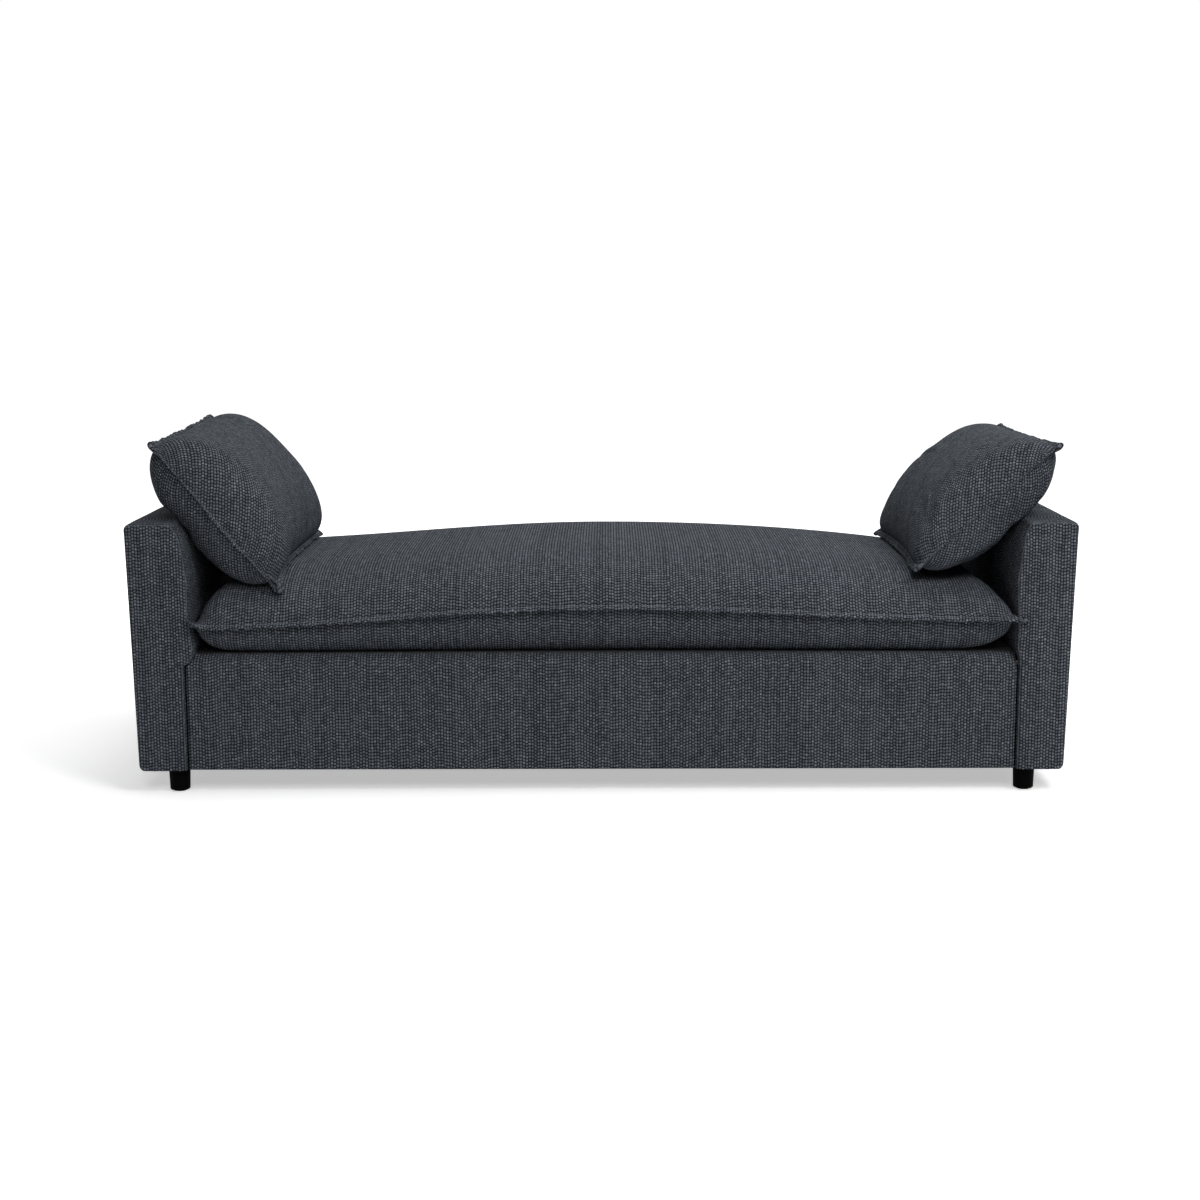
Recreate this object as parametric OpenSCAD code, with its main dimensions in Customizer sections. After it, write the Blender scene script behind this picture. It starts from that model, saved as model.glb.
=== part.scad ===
// Backless sofa, or daybed, with two upholstered arms, a bench seat cushion and two loose pillows.
// X runs along the seat, Y from front to back and Z up, in millimetres.
// The origin is on the floor under the middle of the sofa.

/* [Overall] */
// Width over the arm tops
overall_w = 2180; // [1700:10:2800]
// Depth over the arms, front to back
overall_d = 910; // [720:10:1150]
// Height of the arm tops above the floor
arm_h = 635; // [500:5:800]
// Height of the seat deck above the floor
deck_h = 327; // [250:1:400]
// Height of the underside above the floor
leg_h = 55; // [35:1:90]

/* [Arms] */
// Thickness of each arm at its foot
arm_foot_w = 109; // [85:1:150]
// Thickness of each arm at its flat top
arm_top_w = 110; // [85:1:150]
// How far the inner face of each arm swells past its foot
arm_swell = 19; // [5:1:30]
// How far each outer face leans out from foot to top
arm_lean = 14; // [0:1:40]
// Height of the fullest point, as a share of the inner face
arm_full_share = 0.51; // [0.35:0.01:0.65]
// Rounding of the upholstered edges
arm_edge_r = 15; // [8:1:25]
// Padding over the top of each arm
arm_top_pad = 18; // [10:1:30]
// Padding over the front and the back of each arm
arm_end_pad = 12; // [7:1:20]
// Padding over the outer face of each arm at its foot
arm_side_pad = 4; // [2:1:10]

/* [Base] */
// How far the front panel stands behind the arm fronts
front_recess = 10; // [4:1:25]
// Padding over the front and back rails
front_pad = 15; // [8:1:25]
// Rounding of the top edge of the front panel
front_edge_r = 24; // [10:1:35]
// Thickness of the deck pad
deck_pad_t = 15; // [8:1:30]
// Thickness of the upholstery cloth
cloth_t = 2; // [1:0.1:3]
// Thickness of the dust cover
dust_t = 1; // [0.5:0.1:2]

/* [Timber] */
// Thickness of the rails, sills and posts
rail_t = 22; // [16:1:30]
// Height of the cross rails
cross_rail_h = 130; // [80:1:160]
// Number of cross rails
cross_rails = 3; // [1:2:5]
// Height of the tack rails inside the arms
tack_rail_h = 80; // [60:1:110]
// Thickness of the boards on the arm frames
board_t = 3; // [2:0.5:6]
// Leg length of the corner blocks
block_leg = 60; // [40:1:90]
// Height of the corner blocks
block_h = 90; // [50:1:150]

/* [Webbing] */
// Width of one strap
strap_w = 60; // [40:1:80]
// Thickness of one strap
strap_t = 2; // [1:0.1:3]
// Spacing of the straps that run front to back
strap_pitch_x = 150; // [110:1:220]
// Spacing of the straps that run side to side
strap_pitch_y = 140; // [110:1:220]

/* [Legs] */
// Diameter of a leg at its top
leg_top_d = 50; // [38:1:60]
// Diameter of a leg at its foot
leg_foot_d = 42; // [30:1:55]
// Distance from the seam of arm and base to the leg's centre
leg_inset_x = 26; // [24:1:34]
// Distance from the front of the arm to the leg's centre
leg_inset_y = 45; // [38:1:80]
// Thickness of the glide under a leg
glide_t = 3; // [2:0.5:6]
// Diameter of the glide
glide_d = 30; // [20:1:36]
// Diameter of the leg bolts and the arm bolts
bolt_d = 8; // [6:1:10]
// Depth of a leg bolt in its leg
bolt_in_leg = 28; // [18:1:32]
// Length of a leg bolt above the leg
bolt_above_leg = 22; // [14:1:25]
// Diameter of a leg plate
plate_d = 42; // [36:1:46]
// Thickness of a leg plate
plate_t = 2.5; // [2:0.1:4]

/* [Fasteners] */
// Shank diameter of the frame screws
screw_d = 5; // [4:0.5:6]
// Head diameter of the frame screws
screw_head_d = 9; // [7:0.5:11]
// Length of the frame screws
screw_l = 60; // [45:1:75]
// Height of a screw head
screw_head_t = 3; // [2:0.5:4]
// Shank diameter of the plate screws
plate_screw_d = 3; // [2:0.5:4]
// Length of the plate screws
plate_screw_l = 16; // [10:1:19]
// Head diameter of the arm bolts
bolt_head_d = 16; // [12:1:20]
// Head height of the arm bolts
bolt_head_t = 5; // [3:0.5:7]
// Distance of the arm bolts from the middle of the depth
arm_bolt_y = 260; // [150:5:320]
// Depth of a low arm bolt in the sill
bolt_in_sill = 50; // [30:1:70]
// Flange diameter of the tee nuts
tee_nut_d = 22; // [16:1:28]
// Length of the tee nuts
tee_nut_l = 10; // [6:1:14]
// Wall of the tee nuts and thickness of their flange
tee_nut_wall = 1.5; // [1:0.5:2]

/* [Seat cushion] */
// Height of the crown above the deck
seat_crown_h = 244; // [200:1:310]
// Height of the seam above the deck, at the middle
seat_seam_h = 116; // [90:1:140]
// How far the seam falls towards the ends
seat_seam_fall = 37; // [0:1:50]
// How far the cushion stands out in front of the arms
seat_proud = 5; // [0:1:15]
// Gap between each end of the cushion and the arm
seat_end_gap = 3; // [2:1:20]
// Width of the flange seam
seat_flange_w = 14; // [8:1:20]
// Thickness of the flange seam
seat_flange_t = 6; // [4:0.5:9]
// How far the long sides pull in between the corners
seat_draw_long = 8; // [0:1:20]
// How far the ends pull in between the corners
seat_draw_end = 10; // [0:1:20]
// Distance from the outline to the foam core
seat_wrap_w = 90; // [60:1:120]
// Fibre wrap under the foam core
seat_wrap_t = 16; // [10:1:25]
// Thickness of the foam core
seat_core_t = 80; // [60:1:100]
// How high the cushion lifts
seat_lift = 350; // [200:10:500]

/* [Pillows] */
// Length of a pillow, front to back
pillow_l = 690; // [560:5:830]
// Height of a pillow, along its lean
pillow_h = 430; // [350:5:520]
// Swell of the face that looks inwards
pillow_front_swell = 114; // [80:1:150]
// Swell of the face towards the arm
pillow_back_swell = 96; // [60:1:120]
// How far the fullness sags below the middle, as a share of half the height
pillow_sag_share = 0.14; // [0:0.01:0.3]
// How far the sides pull in between the corners
pillow_draw = 16; // [0:1:30]
// Width of the flange seam
pillow_flange_w = 12; // [8:1:20]
// Thickness of the flange seam
pillow_flange_t = 5; // [4:0.5:8]
// Lean of the left pillow from level, in degrees
left_lean = 51; // [42:1:62]
// Lean of the right pillow from level, in degrees
right_lean = 44; // [40:1:60]
// Room from the arm's top edge to the seam of the left pillow
left_room = 88; // [50:1:110]
// Room from the arm's top edge to the seam of the right pillow
right_room = 69; // [50:1:110]
// How much lower the front end of the left pillow lies
left_dip = 45; // [0:1:60]
// How far in front of the middle the left pillow lies
left_forward = 55; // [0:1:80]
// How far in front of the middle the right pillow lies
right_forward = 40; // [0:1:80]
// How far the foot of a pillow sinks below the crown line
pillow_sink = 44; // [0:1:55]
// How high a pillow lifts
pillow_lift = 300; // [150:10:500]

/* [Fits] */
// Clearance round a bolt or a screw
bolt_clear = 0.2; // [0.1:0.05:0.4]
// Gap between soft pieces that rest on each other
rest_gap = 0.3; // [0.2:0.1:0.6]
// Gap between a pillow and the arm that it leans on
lean_gap = 0.4; // [0.2:0.1:1]
// Gap between a pillow and the curve of the crown that it lies on
bed_gap = 1.5; // [1:0.1:3]

/* [Hidden] */

// Overrun of a cut past the face that it opens
over = 1;
// Facets of screws and bolts, of legs
small_fn = 16;
leg_fn = 32;

// Planes of the base and the arms
half_w = overall_w / 2;
half_d = overall_d / 2;
seam_x = half_w - arm_lean - arm_foot_w;
frame_z = leg_h + dust_t + plate_t;
cloth_z = deck_h - cloth_t;
web_top_z = cloth_z - deck_pad_t;
rail_top_z = web_top_z - strap_t;
side_rail_top_z = rail_top_z - strap_t;
front_y = half_d - front_recess;
rail_y = front_y - cloth_t - front_pad;
rail_in_y = rail_y - rail_t;

// Faces of an arm at height z: the inner one is fullest at full_z and falls back to the flat top
full_z = deck_h + (arm_h - deck_h) * arm_full_share;
top_in_x = half_w - arm_top_w;
full_x = seam_x - arm_swell;
least_r = arm_edge_r / 15;
function outer_x(z) = half_w - arm_lean * (arm_h - z) / (arm_h - leg_h);
function inner_x(z) = z > full_z
    ? full_x + (top_in_x - full_x) * pow((z - full_z) / (arm_h - full_z), 2)
    : z > deck_h ? full_x + arm_swell * pow((full_z - z) / (full_z - deck_h), 2) : seam_x;

// Box that an arm frame fills
arm_in_x = max(seam_x, inner_x(arm_h - cloth_t - arm_top_pad - rail_t)) + 2 * cloth_t;
arm_out_x = half_w - arm_lean - cloth_t - arm_side_pad;
arm_end_y = half_d - cloth_t - arm_end_pad;
arm_frame_top = arm_h - cloth_t - arm_top_pad;
top_rail_x = top_in_x + 2 * cloth_t;
post_in_x = arm_in_x + board_t;
post_out_x = arm_out_x - board_t;
tack_top_z = web_top_z + rail_t;
tack_z = tack_top_z - tack_rail_h;

// Legs: the place of each, and the middle one under the middle cross rail
leg_x = seam_x + leg_inset_x;
leg_y = half_d - leg_inset_y;
LEG_PLACES = [[-leg_x, -leg_y], [leg_x, -leg_y], [-leg_x, leg_y], [leg_x, leg_y], [0, 0]];

// Straps: how many fit, and the first place of each row
strap_span_x = 2 * (seam_x - rail_t) - strap_w;
straps_across = floor(strap_span_x / strap_pitch_x) + 1;
strap_span_y = 2 * rail_in_y - strap_w;
straps_along = floor(strap_span_y / strap_pitch_y) + 1;

// Points of a quarter circle of radius r about c, from angle a to angle b
arc_steps = 4;
function arc(c, r, a, b) = [for (i = [0:arc_steps])
    let (t = a + (b - a) * i / arc_steps) [c[0] + r * cos(t), c[1] + r * sin(t)]];

// Outline of a right arm in X and Z, drawn in by inset and starting at height foot_z
face_steps = 5;
function arm_outline(inset, foot_z) =
    let (r = max(arm_edge_r - inset, least_r), top = arm_h - inset,
         out = outer_x(top) - inset, in = top_in_x + inset)
    concat(
        [[outer_x(foot_z) - inset, foot_z]],
        arc([out - r, top - r], r, 0, 90),
        arc([in + r, top - r], r, 90, 165),
        [for (i = [1:face_steps])
            let (z = top - r + (full_z - top + r) * i / face_steps) [inner_x(z) + inset, z]],
        [for (i = [1:face_steps])
            let (z = full_z + (deck_h - full_z) * i / face_steps) [inner_x(z) + inset, z]],
        [[seam_x + inset, foot_z]]
    );

// Skin through rings of n points each, with a flat face at both ends
function skin_faces(rings, n) = concat(
    [for (k = [0:rings - 2], i = [0:n - 1])
        let (a = k * n + i, b = k * n + (i + 1) % n) each [[a, b, b + n], [a, b + n, a + n]]],
    [[for (i = [n - 1:-1:0]) i]],
    [[for (i = [0:n - 1]) (rings - 1) * n + i]]
);

// Two skins as skin_faces gives them, one inside the other, open below and joined along their hem
function shell_faces(rings, n) =
    let (m = rings * n, last = m - n)
    concat(
        [for (k = [0:rings - 2], i = [0:n - 2]) let (a = k * n + i, b = a + 1)
            each [[a, b, b + n], [a, b + n, a + n]]],
        [for (k = [0:rings - 2], i = [0:n - 2]) let (a = m + k * n + i, b = a + 1)
            each [[a, b + n, b], [a, a + n, b + n]]],
        [[for (i = [n - 1:-1:0]) i], [for (i = [0:n - 1]) last + i]],
        [[for (i = [0:n - 1]) m + i], [for (i = [n - 1:-1:0]) m + last + i]],
        [for (k = [0:rings - 2]) let (a = k * n, b = a + n) each [[a, b, b + m], [a, b + m, a + m]]],
        [for (k = [0:rings - 2]) let (a = k * n + n - 1, b = a + n)
            each [[b, a, a + m], [b, a + m, b + m]]],
        [[n - 1, 0, m], [n - 1, m, m + n - 1]],
        [[last, last + n - 1, last + n - 1 + m], [last, last + n - 1 + m, last + m]]
    );

// Rings of a right arm, drawn in by inset, from its rounded front edge to its rounded back edge
end_steps = 3;
function arm_rings(inset, foot_z) =
    let (flat_y = half_d - inset - arm_edge_r,
         turns = [for (i = [0:end_steps]) 90 * i / end_steps],
         front = [for (i = [end_steps:-1:0]) [-flat_y - arm_edge_r * sin(turns[i]), turns[i]]],
         back = [for (t = turns) [flat_y + arm_edge_r * sin(t), t]])
    [for (s = concat(front, back))
        [for (p = arm_outline(inset + arm_edge_r * (1 - cos(s[1])), foot_z)) [p[0], s[0], p[1]]]];

// Right arm as a solid, drawn in by inset
module arm_form(inset, foot_z) {
    rings = arm_rings(inset, foot_z);
    polyhedron([for (ring = rings) each ring], skin_faces(len(rings), len(rings[0])), convexity = 4);
}

// Shows its children at the right, or mirrored at the left
module at_side(side) {
    if (side < 0) mirror([1, 0, 0]) children();
    else children();
}

// Box between two corners
module block(lo, hi) {
    translate(lo) cube(hi - lo);
}

// Rod along X, Y or Z from a point
module rod_x(at, d, l) { translate(at) rotate([0, 90, 0]) cylinder(d = d, h = l, $fn = small_fn); }
module rod_y(at, d, l) { translate(at) rotate([-90, 0, 0]) cylinder(d = d, h = l, $fn = small_fn); }
module rod_z(at, d, l) { translate(at) cylinder(d = d, h = l, $fn = small_fn); }

// Places of the frame screws: into the ends of the cross rails and the side rails
cross_pitch = 2 * seam_x / (cross_rails + 1);
CROSS_X = [for (i = [1:cross_rails]) -seam_x + cross_pitch * i];
side_rail_x = seam_x - rail_t / 2;
low_screw_z = frame_z + cross_rail_h / 4;
high_screw_z = frame_z + cross_rail_h * 3 / 4;
SCREW_X = concat([-side_rail_x, side_rail_x], CROSS_X);

// Frame screws along Y at the front, with their heads flush in the rail, grown by clear
module frame_screw_set(clear) {
    for (end = [-1, 1], x = SCREW_X, z = [low_screw_z, high_screw_z]) {
        scale([1, end, 1]) {
            rod_y([x, rail_y - screw_l, z], screw_d + 2 * clear, screw_l);
            rod_y([x, rail_y - screw_head_t, z], screw_head_d + 2 * clear, screw_head_t);
        }
    }
}

// Arm bolts along X at both sides: high ones to tee nuts in the tack rail, low ones in the sill
high_bolt_z = (tack_z + side_rail_top_z) / 2;
low_bolt_z = frame_z + rail_t / 2;
tack_rail_x = post_in_x + rail_t;
module arm_bolt_set(clear) {
    for (side = [-1, 1]) at_side(side) {
        for (y = [-arm_bolt_y, arm_bolt_y]) {
            bolt_from([seam_x - rail_t, y, high_bolt_z], tack_rail_x - seam_x + rail_t, clear);
            bolt_from([seam_x - rail_t, y, low_bolt_z],
                      arm_in_x - seam_x + rail_t + bolt_in_sill, clear);
        }
    }
}
module bolt_from(at, l, clear) {
    rod_x([at[0] - bolt_head_t, at[1], at[2]], bolt_head_d + 2 * clear, bolt_head_t);
    rod_x(at, bolt_d + 2 * clear, l);
}

// Tee nuts on the far face of the tack rails, round the high bolts
module tee_nut_set(clear) {
    barrel_d = bolt_d + 2 * bolt_clear + 2 * tee_nut_wall;
    for (side = [-1, 1]) at_side(side)
        for (y = [-arm_bolt_y, arm_bolt_y]) {
            rod_x([tack_rail_x - tee_nut_l, y, high_bolt_z], barrel_d + 2 * clear, tee_nut_l);
            rod_x([tack_rail_x, y, high_bolt_z], tee_nut_d + 2 * clear, tee_nut_wall);
        }
}

// Leg bolts, with their upper half in the frame
module leg_bolt_set(clear) {
    for (p = LEG_PLACES)
        rod_z([p[0], p[1], leg_h - bolt_in_leg], bolt_d + 2 * clear, bolt_in_leg + bolt_above_leg);
}

// Plate screws: three to a plate, with their heads flush in the plate
plate_screw_r = plate_d * 0.34;
plate_screw_head_d = 2 * plate_screw_d;
module plate_screw_set(clear) {
    for (p = LEG_PLACES, a = [0, 120, 240]) {
        at = [p[0] + plate_screw_r * cos(a), p[1] + plate_screw_r * sin(a), leg_h + dust_t];
        rod_z(at, plate_screw_d + 2 * clear, plate_screw_l);
        rod_z(at, plate_screw_head_d + 2 * clear, plate_t / 2);
    }
}

// Front or back rail
module long_rail(end) {
    difference() {
        scale([1, end, 1]) block([-seam_x, rail_in_y, frame_z], [seam_x, rail_y, rail_top_z]);
        frame_screw_set(bolt_clear);
    }
}
module front_rail() { color("burlywood") long_rail(-1); }
module back_rail() { color("burlywood") long_rail(1); }

// Rail under each arm, between the long rails
module side_rail(side) {
    difference() {
        at_side(side)
            block([seam_x - rail_t, -rail_in_y, frame_z], [seam_x, rail_in_y, side_rail_top_z]);
        frame_screw_set(bolt_clear);
        arm_bolt_set(bolt_clear);
    }
}
module left_side_rail() { color("burlywood") side_rail(-1); }
module right_side_rail() { color("burlywood") side_rail(1); }

// Cross rails; the middle one is notched over the block of the middle leg
module cross_rails() {
    color("burlywood") difference() {
        for (x = CROSS_X) {
            block([x - rail_t / 2, -rail_in_y, frame_z],
                  [x + rail_t / 2, rail_in_y, frame_z + cross_rail_h]);
        }
        leg_block(over);
        frame_screw_set(bolt_clear);
        leg_bolt_set(bolt_clear);
    }
}

// Block that the plate of the middle leg is screwed to
module leg_block(below) {
    half = plate_d * 0.7;
    block([-half, -half, frame_z - below], [half, half, frame_z + rail_t]);
}
module middle_leg_block() {
    color("tan") difference() {
        leg_block(0);
        leg_bolt_set(bolt_clear);
        plate_screw_set(bolt_clear);
    }
}

// Blocks glued into the inner corners of the base
module corner_blocks() {
    corner = [seam_x - rail_t, rail_in_y];
    color("tan") for (sx = [-1, 1], sy = [-1, 1]) scale([sx, sy, 1])
        translate([0, 0, (frame_z + side_rail_top_z - block_h) / 2])
            linear_extrude(block_h)
                polygon([corner, corner - [block_leg, 0], corner - [0, block_leg]]);
}

// Board that an arm stands on
module arm_sill(side) {
    color("burlywood") difference() {
        at_side(side) block([arm_in_x, -arm_end_y, frame_z], [arm_out_x, arm_end_y, frame_z + rail_t]);
        arm_bolt_set(bolt_clear);
        leg_bolt_set(bolt_clear);
        plate_screw_set(bolt_clear);
    }
}
module left_arm_sill() { arm_sill(-1); }
module right_arm_sill() { arm_sill(1); }

// Upright at the front or the back of an arm
module arm_post(side, end) {
    color("burlywood") at_side(side) scale([1, end, 1])
        block([post_in_x, arm_end_y - rail_t, frame_z + rail_t],
              [post_out_x, arm_end_y, arm_frame_top - rail_t]);
}
module left_arm_front_post() { arm_post(-1, -1); }
module left_arm_back_post() { arm_post(-1, 1); }
module right_arm_front_post() { arm_post(1, -1); }
module right_arm_back_post() { arm_post(1, 1); }

// Board along the top of an arm
module arm_top_board() {
    block([top_rail_x, -arm_end_y, arm_frame_top - rail_t], [arm_out_x, arm_end_y, arm_frame_top]);
}
module arm_top_rail(side) { color("burlywood") at_side(side) arm_top_board(); }
module left_arm_top_rail() { arm_top_rail(-1); }
module right_arm_top_rail() { arm_top_rail(1); }

// Rail at deck height that the arm is bolted through and its cloth is tacked to
module arm_tack_rail(side) {
    post_y = arm_end_y - rail_t;
    color("burlywood") difference() {
        at_side(side) block([post_in_x, -post_y, tack_z], [tack_rail_x, post_y, tack_top_z]);
        arm_bolt_set(bolt_clear);
        tee_nut_set(bolt_clear);
    }
}
module left_arm_tack_rail() { arm_tack_rail(-1); }
module right_arm_tack_rail() { arm_tack_rail(1); }

// Board behind the padding of the inner face
module arm_inner_board(side) {
    color("peru") difference() {
        at_side(side) block([arm_in_x, -arm_end_y, frame_z + rail_t],
                            [post_in_x, arm_end_y, arm_frame_top - rail_t]);
        arm_bolt_set(bolt_clear);
    }
}
module left_arm_inner_board() { arm_inner_board(-1); }
module right_arm_inner_board() { arm_inner_board(1); }

// Board under the cloth of the outer face
module arm_outer_board(side) {
    color("peru") at_side(side)
        block([post_out_x, -arm_end_y, frame_z + rail_t], [arm_out_x, arm_end_y, arm_frame_top - rail_t]);
}
module left_arm_outer_board() { arm_outer_board(-1); }
module right_arm_outer_board() { arm_outer_board(1); }

// Padding round an arm frame, open below
module arm_padding(side) {
    color("ivory") difference() {
        at_side(side) arm_form(cloth_t + rest_gap, frame_z);
        at_side(side) block([arm_in_x, -arm_end_y, frame_z - over],
                            [arm_out_x, arm_end_y, arm_frame_top - rail_t]);
        at_side(side) arm_top_board();
        arm_bolt_set(bolt_clear);
    }
}
module left_arm_padding() { arm_padding(-1); }
module right_arm_padding() { arm_padding(1); }

// Sewn cover of an arm, open below
module arm_cover(side) {
    hem_z = leg_h + dust_t;
    outer = arm_rings(0, hem_z);
    inner = arm_rings(cloth_t, hem_z);
    color("darkslategray") difference() {
        at_side(side) polyhedron([for (ring = concat(outer, inner)) each ring],
                                 shell_faces(len(outer), len(outer[0])), convexity = 4);
        arm_bolt_set(bolt_clear);
    }
}
module left_arm_cover() { arm_cover(-1); }
module right_arm_cover() { arm_cover(1); }

module frame_screws() { color("silver") frame_screw_set(0); }
module arm_bolts() { color("silver") arm_bolt_set(0); }
module tee_nuts() {
    color("silver") difference() {
        tee_nut_set(0);
        for (side = [-1, 1]) at_side(side)
            for (y = [-arm_bolt_y, arm_bolt_y])
                rod_x([tack_rail_x - tee_nut_l - over, y, high_bolt_z], bolt_d + 2 * bolt_clear,
                      tee_nut_l + tee_nut_wall + 2 * over);
    }
}

// Straps from the front rail to the back rail
module webbing_across() {
    first = -(straps_across - 1) * strap_pitch_x / 2;
    color("dimgray") for (i = [0:straps_across - 1]) {
        x = first + i * strap_pitch_x;
        block([x - strap_w / 2, -rail_y, rail_top_z], [x + strap_w / 2, rail_y, web_top_z]);
    }
}

// Straps from side rail to side rail, under the others
module webbing_along() {
    first = -(straps_along - 1) * strap_pitch_y / 2;
    color("dimgray") for (i = [0:straps_along - 1]) {
        y = first + i * strap_pitch_y;
        block([-seam_x, y - strap_w / 2, side_rail_top_z], [seam_x, y + strap_w / 2, rail_top_z]);
    }
}

// Pad on the webbing, and the cloth over it
lip_y = rail_in_y - 2 * front_edge_r;
module deck_pad() {
    color("ivory") block([-seam_x, -rail_in_y, web_top_z], [seam_x, rail_in_y, cloth_z]);
}
module deck_cloth() {
    color("black") block([-seam_x, -lip_y, cloth_z], [seam_x, lip_y, deck_h]);
}

// Padding over the front of a rail and round its top edge
module rail_padding(end) {
    r = front_edge_r - cloth_t;
    y = front_y - cloth_t;
    color("ivory") scale([1, end, 1]) translate([-seam_x, 0, 0]) rotate([90, 0, 90])
        linear_extrude(2 * seam_x)
        polygon(concat(
            [[y, frame_z]],
            arc([y - r, cloth_z - r], r, 0, 90),
            [[rail_in_y, cloth_z], [rail_in_y, web_top_z], [rail_y, web_top_z], [rail_y, frame_z]]
        ));
}
module front_padding() { rail_padding(-1); }
module back_padding() { rail_padding(1); }

// Cover of the front or the back of the base, from its hem below to its lip on the deck
module rail_cover(end) {
    r = front_edge_r;
    hem_z = leg_h + dust_t;
    color("darkslategray") scale([1, end, 1]) translate([-seam_x, 0, 0]) rotate([90, 0, 90])
        linear_extrude(2 * seam_x)
        polygon(concat(
            [[rail_y, hem_z], [front_y, hem_z]],
            arc([front_y - r, deck_h - r], r, 0, 90),
            [[lip_y, deck_h], [lip_y, cloth_z]],
            arc([front_y - r, deck_h - r], r - cloth_t, 90, 0),
            [[front_y - cloth_t, frame_z], [rail_y, frame_z]]
        ));
}
module front_cover() { rail_cover(-1); }
module back_cover() { rail_cover(1); }

// Cloth stapled under the whole frame
module dust_cover() {
    color("black") difference() {
        block([-arm_out_x, -rail_y, leg_h], [arm_out_x, rail_y, leg_h + dust_t]);
        leg_bolt_set(bolt_clear);
    }
}

// Tapered leg with a bore for its bolt
module leg(i) {
    p = LEG_PLACES[i];
    color("black") difference() {
        translate([p[0], p[1], glide_t])
            cylinder(d1 = leg_foot_d, d2 = leg_top_d, h = leg_h - glide_t, $fn = leg_fn);
        leg_bolt_set(bolt_clear);
    }
}
module front_left_leg() { leg(0); }
module front_right_leg() { leg(1); }
module back_left_leg() { leg(2); }
module back_right_leg() { leg(3); }
module middle_leg() { leg(4); }

module leg_bolts() { color("silver") leg_bolt_set(0); }
module leg_plates() {
    color("silver") difference() {
        for (p = LEG_PLACES)
            translate([p[0], p[1], leg_h + dust_t]) cylinder(d = plate_d, h = plate_t, $fn = leg_fn);
        leg_bolt_set(bolt_clear);
        plate_screw_set(bolt_clear);
    }
}
module plate_screws() { color("silver") plate_screw_set(0); }
module leg_glides() {
    color("dimgray") for (p = LEG_PLACES) rod_z([p[0], p[1], 0], glide_d, glide_t);
}

// Soft forms: two grids of points, upper and lower, joined along their rim by a thin wall
function grid_faces(m, n) =
    let (w = n + 1, low = (m + 1) * w)
    concat(
        [for (i = [0:m - 1], j = [0:n - 1]) let (a = i * w + j)
            each [[a, a + 1, a + w + 1], [a, a + w + 1, a + w]]],
        [for (i = [0:m - 1], j = [0:n - 1]) let (a = low + i * w + j)
            each [[a, a + w + 1, a + 1], [a, a + w, a + w + 1]]],
        [for (i = [0:m - 1]) let (a = i * w, b = a + w) each [[a, b, b + low], [a, b + low, a + low]]],
        [for (i = [0:m - 1]) let (a = i * w + n, b = a + w) each [[a, b + low, b], [a, a + low, b + low]]],
        [for (j = [0:n - 1]) let (a = j, b = j + 1) each [[a, b + low, b], [a, a + low, b + low]]],
        [for (j = [0:n - 1]) let (a = m * w + j, b = a + 1) each [[a, b, b + low], [a, b + low, a + low]]]
    );

// Places across a soft form, closer together near its edges, with the flange as the last step
function spread(half, flange, n) = concat(
    [-half],
    [for (i = [0:n - 2]) (half - flange) * sin(-90 + 180 * i / (n - 2))],
    [half]
);

// Fall of a swell from the middle, at share s of the way to the edge; a high power stays flat longer
function edge_fall(s, power) = sqrt(max(0, 1 - pow(min(abs(s), 1), power)));

// Seat cushion: the powers say how long each swell stays full
seat_hx = full_x - seat_end_gap;
seat_hy = half_d + seat_proud;
seat_foot_z = deck_h + rest_gap;
seat_long_power = 12;
seat_short_power = 3.2;
seat_under_power = 16;
seat_cells_x = 22;
seat_cells_y = 12;
function seat_seam_z(x) = deck_h + seat_seam_h
    - seat_seam_fall * (1 - cos(180 * min(abs(x) / seat_hx, 1))) / 2;
seat_rise = seat_crown_h - seat_seam_h - seat_flange_t / 2;
function seat_top_z(x, y, hx, hy, inset) = seat_seam_z(x) + (seat_rise - inset)
    * edge_fall(x / hx, seat_long_power) * edge_fall(y / hy, seat_short_power);
function seat_low_z(x, y, hx, hy, inset) = max(seat_foot_z + inset, seat_seam_z(x)
    - (seat_seam_h + seat_flange_t)
        * edge_fall(x / hx, seat_under_power) * edge_fall(y / hy, seat_under_power));
function seat_place(x, y) = [
    x * (1 - seat_draw_end / seat_hx * (1 - pow(y / seat_hy, 2))),
    y * (1 - seat_draw_long / seat_hy * (1 - pow(x / seat_hx, 2)))
];

// Height of the seat's upper face under a point, for what rests on it
function seat_height(x, y) =
    let (hx = seat_hx - seat_flange_w, hy = seat_hy - seat_flange_w,
         wx = x / (1 - seat_draw_end / seat_hx * (1 - pow(y / seat_hy, 2))),
         wy = y / (1 - seat_draw_long / seat_hy * (1 - pow(min(abs(x) / seat_hx, 1), 2))))
    seat_top_z(wx, wy, hx, hy, 0) + seat_flange_t / 2;

// Seat cushion as a solid: flange is the width of its rim and rim its half thickness
module seat_form(inset, flange, rim) {
    hx = seat_hx - inset - (seat_flange_w - flange);
    hy = seat_hy - inset - (seat_flange_w - flange);
    xs = spread(hx, flange, seat_cells_x);
    ys = spread(hy, flange, seat_cells_y);
    upper = [for (x = xs, y = ys) let (p = seat_place(x, y))
        [p[0], p[1], rim + seat_top_z(x, y, hx - flange, hy - flange, inset)]];
    lower = [for (x = xs, y = ys) let (p = seat_place(x, y))
        [p[0], p[1], min(seat_seam_z(x) - rim, seat_low_z(x, y, hx - flange, hy - flange, inset))]];
    polyhedron(concat(upper, lower), grid_faces(seat_cells_x, seat_cells_y), convexity = 4);
}

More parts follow.
